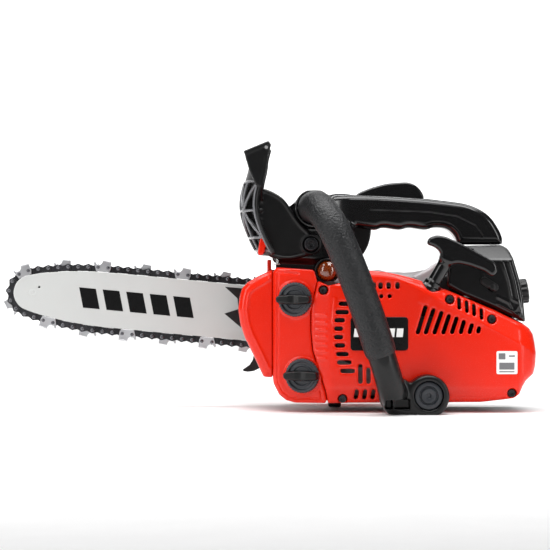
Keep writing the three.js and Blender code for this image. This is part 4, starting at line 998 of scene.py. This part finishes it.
def clutch_side():
    g = Field((-87, 31, 33), (47, 87, 130), 0.95)
    full = rounded(g.flat(CLUTCH, 4), g.y - 84, 9)
    ridge = rounded(np.abs(g.flat(inset(CLUTCH, 9), 3)) - 0.8, slab(g.y, 80, 84.9), 0.6)
    full = smin(full, ridge, 1.5)
    shell = smax(smax(full, 34 - g.y, 0.5), -np.maximum(full + WALL, g.y - 78), 0.4)
    mouth = g.flat([(-95, 48), (-60, 46), (-60, 124.4), (-95, 124)])
    shell = smax(shell, -np.maximum(mouth, g.y - 66), 0.6)
    for x, z in STUDS:
        tower = smin(pin(g, x, z, 60.4, 80, 7, 0.5), pin(g, x, z, 76, 84.3, 11, 0.8), 1.0)
        shell = smin(shell, tower, 1.0)
        shell = smax(shell, -pin(g, x, z, 50, 100, 3.6), 0.4)
        shell = smax(shell, -pin(g, x, z, 84.35, 100, 10, 0.1), 0.5)
    for k in range(5):
        x = 4 + 6.5 * k
        slot = stroke(g.x, g.z, x - 4, 64, x + 5, 100 - 2 * k, 3.2)
        shell = smax(shell, -np.maximum(slot, 74 - g.y), 1.0)
    g.piece("clutch_cover", shell, "red_plastic")

    g = Field((-54, -39, -1), (154, 32, 129), 1.15)
    wall = inset(COVER, 0.5)
    full = rounded(g.flat(wall, 2), g.y - 30, 5)
    body = smax(full, SEAM_Y + 0.35 - g.y, 0.3)
    shell = smax(body, -np.maximum(full + WALL, g.y - 27.4), 0.4)
    for x0, x1 in ((-34, -22), (20, 62)):
        shell = smin(shell, brick(g, x0, x1, 10, 29.5, 0, 11, 1.5), 1.5)
    deck = [(-60, 96), (-6, 96), (6, 140), (-60, 140)]
    shell = smax(shell, -np.maximum(g.flat(deck), g.y - 27.4), 0.6)
    shell = smax(shell, -brick(g, -70, -34, -60, 12, 92, 140), 0.6)
    shell = smax(shell, -pin(g, 0, CRANK_Z, 20, 40, 29.5), 0.8)
    shell = smax(shell, -rod(g, (-12, 0, 120), (76, 0, 121), 9), 0.6)
    top = g.flat([(34, 108), (84, 100), (84, 140), (34, 140)])
    shell = smax(shell, -np.maximum(top, slab(g.y, -26, 16)), 0.6)
    ledge = [(74, 109), (101, 98.8), (115, 92.8), (129, 85.8), (143, 78.5), (141, 73), (100, 88), (74, 98)]
    shell = smin(shell, np.maximum(g.flat(ledge), slab(g.y, -37, 29)), 0.6)
    cheek = [(58, 106), (76, 99), (76, 124), (69, 120.5), (61, 115)]
    shell = smin(shell, np.maximum(g.flat(cheek, 2), slab(g.y, -37, -33)), 0.6)
    for k in range(4):
        shell = smax(shell, -brick(g, 104 + k * 9, 108 + k * 9, 20, 40, 40, 66, 1.6), 0.8)
    g.piece("engine_housing", shell, "black_matte")

    g = Field((-2, -26, 108), (73, 16, 137), 0.75)
    wedge = [(42, 121), (58, 129), (65, 134.5), (70, 134.5), (70, 112), (64, 110), (48, 116)]
    wedge = prism(g, wedge, -24, 14, 2, 1.5)
    for k in range(4):
        wedge = smax(wedge, -(np.hypot(g.x - (49 + 5 * k), g.z - (125.6 + 2.9 * k)) - 1.2), 0.8)
    line = [(-6, 0, 121), (12, 0, 120), (30, 0, 118), (52, 0, 119.5), (78, 0, 123.5)]
    pairs = list(zip(line, line[1:]))
    tube = union([capsule(g, a, b, 7) for a, b in pairs], 3)
    bore = union([capsule(g, a, b, 5) for a, b in pairs])
    boot = smax(smax(smin(wedge, tube, 2), -bore, 0.4), np.maximum(-0.3 - g.x, g.x - 71), 0.4)
    g.piece("intake_boot", boot, "grey_plastic")


clutch_side()


# ---------------------------------------------------------------- bar, chain and spikes
def bar_frame(points):
    """From (along the bar, across it, up from its line) to the engine's axes"""
    c, s = math.cos(BAR_TILT), math.sin(BAR_TILT)
    u, y, w = points[:, 0], points[:, 1], points[:, 2]
    return np.stack([-u * c + w * s, y, CRANK_Z + u * s + w * c], 1)


NOSE_U = BAR_TIP - NOSE_R
NOSE_TURN = 1.36  # radians, half of the arc round the nose
FLANK = [(27, 14), (32, 19), (58, BAR_HALF), (BAR_TIP - 98, BAR_HALF), (BAR_TIP - 75, 25.9),
         (BAR_TIP - 52, 24), (BAR_TIP - 34, 21.3), (BAR_TIP - 22, 19)]


def bar_outline():
    turns = np.linspace(NOSE_TURN, -NOSE_TURN, 28)
    nose = [(NOSE_U + NOSE_R * math.cos(a), NOSE_R * math.sin(a)) for a in turns]
    return FLANK + nose + [(u, -w) for u, w in reversed(FLANK)]


def guide_bar():
    g = Field((24, 55, -29), (337, 61, 29), 0.62)
    flat = g.flat(bar_outline())
    plate = rounded(flat, np.abs(g.y - BAR_Y) - 2, 0.5)
    groove = np.maximum(-(flat + 5.5), np.abs(g.y - BAR_Y) - 0.9)
    plate = smax(plate, -np.maximum(groove, flat), 0.2)
    plate = smax(plate, -(stroke(g.x, g.z, 48, 0, 88, 0, 7)), 0.4)
    for w in (14, -14):
        plate = smax(plate, -(np.hypot(g.x - 68, g.z - w) - 2.6), 0.4)
    hole = np.maximum(np.hypot(g.x - (BAR_TIP - 24), g.z - 6) - 1.2, 1.1 - np.abs(g.y - BAR_Y))
    plate = smax(plate, -hole, 0.3)
    ring = np.hypot(g.x - (BAR_TIP - 17.5), g.z - 0.5) - 2.9
    plate = smax(plate, -np.maximum(np.abs(ring) - 0.35, 1.7 - np.abs(g.y - BAR_Y)), 0.2)
    g.piece("guide_bar", plate, "bar_steel", to=bar_frame)
    for side, word in ((-1, "left"), (1, "right")):
        marks = {f"grease_hole_{word}": (arc(BAR_TIP - 24, 6, 1.1, 0, 342, 20), BAR_Y + 1.2 * side)}
        for k in range(5):
            block = skew_block(160.8 + 22.5 * k, -9.5, 16, 19, 5.5)
            marks[f"bar_mark_{word}_{k + 1}"] = (block, BAR_Y + 2.0 * side)
        for name, (outline, y) in marks.items():
            flat_mark(name, outline, y - 0.08, y + 0.08, "black_print", "black_gloss", bar_frame, 0.02)


guide_bar()


LINKS = 80  # rivets round the chain
RAIL = 4.3  # rivet line above the edge of the bar
DRIVE_R = 18.4  # rivet line round the drive sprocket


def chain_line():
    """Rivet line of the chain, the same as the CAD's"""
    upper = []
    for i in range(6):
        a = math.pi - i / 5 * 1.37
        upper.append((DRIVE_R * math.cos(a), DRIVE_R * math.sin(a)))
    upper.append((60, BAR_HALF + RAIL))
    upper += [(u, w + RAIL) for u, w in FLANK[3:]]
    for i in range(8):
        a = NOSE_TURN * (1 - i / 8)
        upper.append((NOSE_U + (NOSE_R + RAIL) * math.cos(a), (NOSE_R + RAIL) * math.sin(a)))
    lower = [(u, -w) for u, w in reversed(upper[1:])]
    line = np.array(upper + [(BAR_TIP + RAIL, 0)] + lower)
    closed = np.vstack([line, line[:1]])
    lengths = np.concatenate([[0], np.cumsum(np.linalg.norm(np.diff(closed, axis=0), axis=1))])
    at = np.linspace(0, lengths[-1], LINKS, endpoint=False)
    return np.stack([np.interp(at, lengths, closed[:, i]) for i in (0, 1)], 1)


TIE = [(6.3, -4.1)] + arc(4.5, 0, 3.0, -20, 80) + [(0, 1.2)] + arc(-4.5, 0, 3.0, 100, 200) + [(-6.3, -4.1)]
DRIVE = arc(4.2, 0, 2.6, -40, 90) + [(0, 1.4)] + arc(-4.2, 0, 2.6, 90, 220) + [
    (-4.6, -3.6), (-2.4, -6.4), (0.4, -8.6), (1.6, -9.1), (2.2, -8.2), (3.6, -5), (6.0, -2.2)]
TOOTH = [(6.3, -4.1), (7.3, -1.0)] + [
    (8.2, 1.2), (9.1, 3.4), (8.5, 5.0), (7.5, 4.7), (6.4, 3.0), (4.6, 2.4), (2.6, 2.9), (1.1, 4.5),
    (0.4, 6.9), (-7.3, 6.1), (-7.4, -1.0), (-6.3, -4.1)]
PLATE_TOP = [(-7.4, 5.1), (0.1, 5.9), (0.5, 6.9), (-7.4, 6.1)]


CHAIN_PAINTS = ["chain_steel", "cutter_steel", "rivet_steel"]
RIVET = [(1.75, 0), (1.75, 0.35), (1.3, 0.65), (0.6, 0.78)]
SIDE_LINK = 1.3  # thickness of side links and cutters
DRIVE_HALF = 0.65  # half the thickness of a drive link


def saw_chain():
    rivets = chain_line()
    points, faces, paints = [], [], []

    def store(shape, paint):
        faces.extend([[v + len(points) for v in f] for f in shape[1]])
        points.extend(shape[0])
        paints.extend([CHAIN_PAINTS.index(paint)] * len(shape[1]))

    def put(outline, low, thick, start, end, paint):
        way = (end - start) / np.linalg.norm(end - start)
        mid = (start + end) / 2
        laid = [tuple(mid + s * way + n * np.array([-way[1], way[0]])) for s, n in outline]
        store(plate_mesh(laid, low, low + thick, 0.18), paint)

    def rivet(at, side):
        turns = [2 * math.pi * i / 14 for i in range(14)]
        y = BAR_Y + side * (DRIVE_HALF + SIDE_LINK)
        rings = [[(at[0] + r * math.cos(a), y + side * h, at[1] + r * math.sin(a)) for a in turns]
                 for r, h in RIVET]
        skin, around = skinned(rings)
        store((skin, around if side < 0 else [f[::-1] for f in around]), "rivet_steel")

    for i in range(LINKS):
        start, end = rivets[i], rivets[(i + 1) % LINKS]
        if i % 2 == 0:
            put(DRIVE, BAR_Y - DRIVE_HALF, 2 * DRIVE_HALF, start, end, "chain_steel")
        else:
            cutter = {1: 1, 5: -1}.get(i % 8, 0)
            for side in (-1, 1):
                low = BAR_Y + (DRIVE_HALF if side > 0 else -DRIVE_HALF - SIDE_LINK)
                outline, paint = (TOOTH, "cutter_steel") if side == cutter else (TIE, "chain_steel")
                put(outline, low, SIDE_LINK, start, end, paint)
            if cutter:
                put(PLATE_TOP, BAR_Y + (-4.6 if cutter < 0 else 0.2), 4.4, start, end, "cutter_steel")
        for side in (-1, 1):
            rivet(start, side)
    obj = add_piece("saw_chain", (points, faces), "chain_steel", to=bar_frame, sharp=30)
    for paint in CHAIN_PAINTS[1:]:
        obj.data.materials.append(FINISH[paint])
    obj.data.polygons.foreach_set("material_index", np.array(paints, np.int32))


saw_chain()


def spikes():
    g = Field((-134, 29, 30), (-82, 35, 120), 0.55)
    plate = prism(g, SPIKE, 30.35, 33.2, 0.5)
    for z in (58, 106):
        plate = smax(plate, -(np.hypot(g.x + 93, g.z - z) - 2.4), 0.5)
    g.piece("bumper_spike", plate, "chain_steel", sharp=40, paint="black_oxide")


spikes()


NUT_R = 7.5  # out to a corner of the hexagon


def nut(name, x, z):
    washer = [(3.4, 84.4), (8, 84.4), (8, 85.8), (3.4, 85.8), (3.4, 84.4)]
    lathe(name + "_washer", rounded_profile(washer, 0.3), (x, 0, z), (0, 1, 0), "zinc_plate", seg=48)
    g = Field((x - 9, 84.6, z - 9), (x + 9, 93.5, z + 9), 0.32)
    hexagon = arc(x, z, NUT_R, 0, 300)
    out = np.hypot(g.x - x, g.z - z)
    shape = smax(prism(g, hexagon, 85.6, 92, 0.3), (out - 7.1 + (g.y - 91) * 1.6) * 0.53, 0.2)
    g.piece(name, smax(shape, 3.2 - out, 0.3), "zinc_plate", sharp=30)


THREAD = [(0, 30.4), (2.7, 30.4), (3, 31)]
for turn in range(26):
    THREAD += [(3.0, 60 + 1.2 * turn), (2.6, 60.6 + 1.2 * turn)]
THREAD += [(2.2, 91), (0, 91)]
for number, (stud_x, stud_z) in enumerate(STUDS, 1):
    nut(f"bar_nut_{number}", stud_x, stud_z)
    lathe(f"bar_stud_{number}", THREAD, (stud_x, 0, stud_z), (0, 1, 0), "steel", seg=36, sharp=25)

# ---------------------------------------------------------------- pieces kept from the CAD
REPLACED = {n for o in bpy.data.objects for n in o.get("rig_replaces", [])}
PAINT_OF = {part["node"]: part["material_slot"] for part in frame["record"]["subparts"]}
for node_name, node in frame["nodes"].items():
    if node_name in REPLACED:
        continue
    paint = PAINT_OF[node_name]
    node.data.materials.clear()
    # the flywheel takes a dark finish as painted shade in place of its bright aluminium
    node.data.materials.append(FINISH["flywheel_painted_shade" if node_name == "flywheel" else paint])


# ---------------------------------------------------------------- floor, light and camera
FLOOR_Z = -0.0006  # metres, just under the feet
HALF_WIDTH, BEND_Y, BEND_R, WALL_TOP = 8.0, 5.2, 0.9, 6.0


def stage():
    """Pale paper floor that curves up into a backdrop behind the saw"""
    line = [(-HALF_WIDTH, FLOOR_Z), (BEND_Y, FLOOR_Z)]
    line += [(BEND_Y + BEND_R * math.sin(a), FLOOR_Z + BEND_R * (1 - math.cos(a)))
             for a in np.linspace(0.1, math.pi / 2, 16)]
    line.append((BEND_Y + BEND_R, WALL_TOP))
    points = [(x, y, z) for y, z in line for x in (-HALF_WIDTH, HALF_WIDTH)]
    faces = [(2 * k, 2 * k + 1, 2 * k + 3, 2 * k + 2) for k in range(len(line) - 1)]
    mesh = bpy.data.meshes.new("floor")
    mesh.from_pydata(points, [], faces)
    mesh.shade_smooth()
    floor = bpy.data.objects.new("floor", mesh)
    bpy.context.scene.collection.objects.link(floor)
    mesh.materials.append(finish("floor_paper", (0.88, 0.88, 0.88), 0.8, 0, 0.015, 300, 0.05, 0.0002))
    sky = bpy.data.worlds.new("studio")
    sky.use_nodes = True
    backdrop = sky.node_tree.nodes["Background"].inputs
    backdrop["Color"].default_value = (1, 1, 1, 1)
    backdrop["Strength"].default_value = 0.14
    bpy.context.scene.world = sky


def softbox(name, at, aim, size, power):
    light = bpy.data.lights.new(name, "AREA")
    light.shape = "RECTANGLE"
    light.size, light.size_y = size
    light.energy = power
    obj = bpy.data.objects.new(name, light)
    obj.location = world(at)
    obj.rotation_euler = (world(aim) - world(at)).to_track_quat("-Z", "Y").to_euler()
    bpy.context.scene.collection.objects.link(obj)


# Place and aim in millimetres, size in metres, power in watts
SOFTBOXES = {
    "softbox_top": ((-60, -250, 1100), (-40, 0, 100), (1.3, 0.5), 19),
    "softbox_left": ((-1000, -800, 520), (-60, 0, 110), (0.4, 1.0), 8),
    "softbox_right": ((950, -700, 420), (20, 0, 110), (0.3, 0.8), 6),
    "softbox_front": ((-100, -1700, 1700), (-40, 0, 110), (1.0, 0.35), 9),
    "backdrop_light": ((-80, 700, 1900), (-80, 2100, 300), (2.6, 0.7), 75),
    "backdrop_light_far": ((-80, 3900, 2300), (-80, 5600, 300), (3.2, 0.9), 150),
}
stage()
for light_name, setting in SOFTBOXES.items():
    softbox(light_name, *setting)

CAMERA_AT = (-83.6, -2040, 123)  # square to the starter side
lens = bpy.data.cameras.new("camera")
lens.lens = 144
lens.sensor_width = 36
camera = bpy.data.objects.new("camera", lens)
camera.location = world(CAMERA_AT)
camera.rotation_euler = (math.pi / 2, 0, 0)
bpy.context.scene.collection.objects.link(camera)
bpy.context.scene.camera = camera
bpy.context.scene.view_settings.view_transform = "Standard"
bpy.context.scene.view_settings.exposure = -0.35
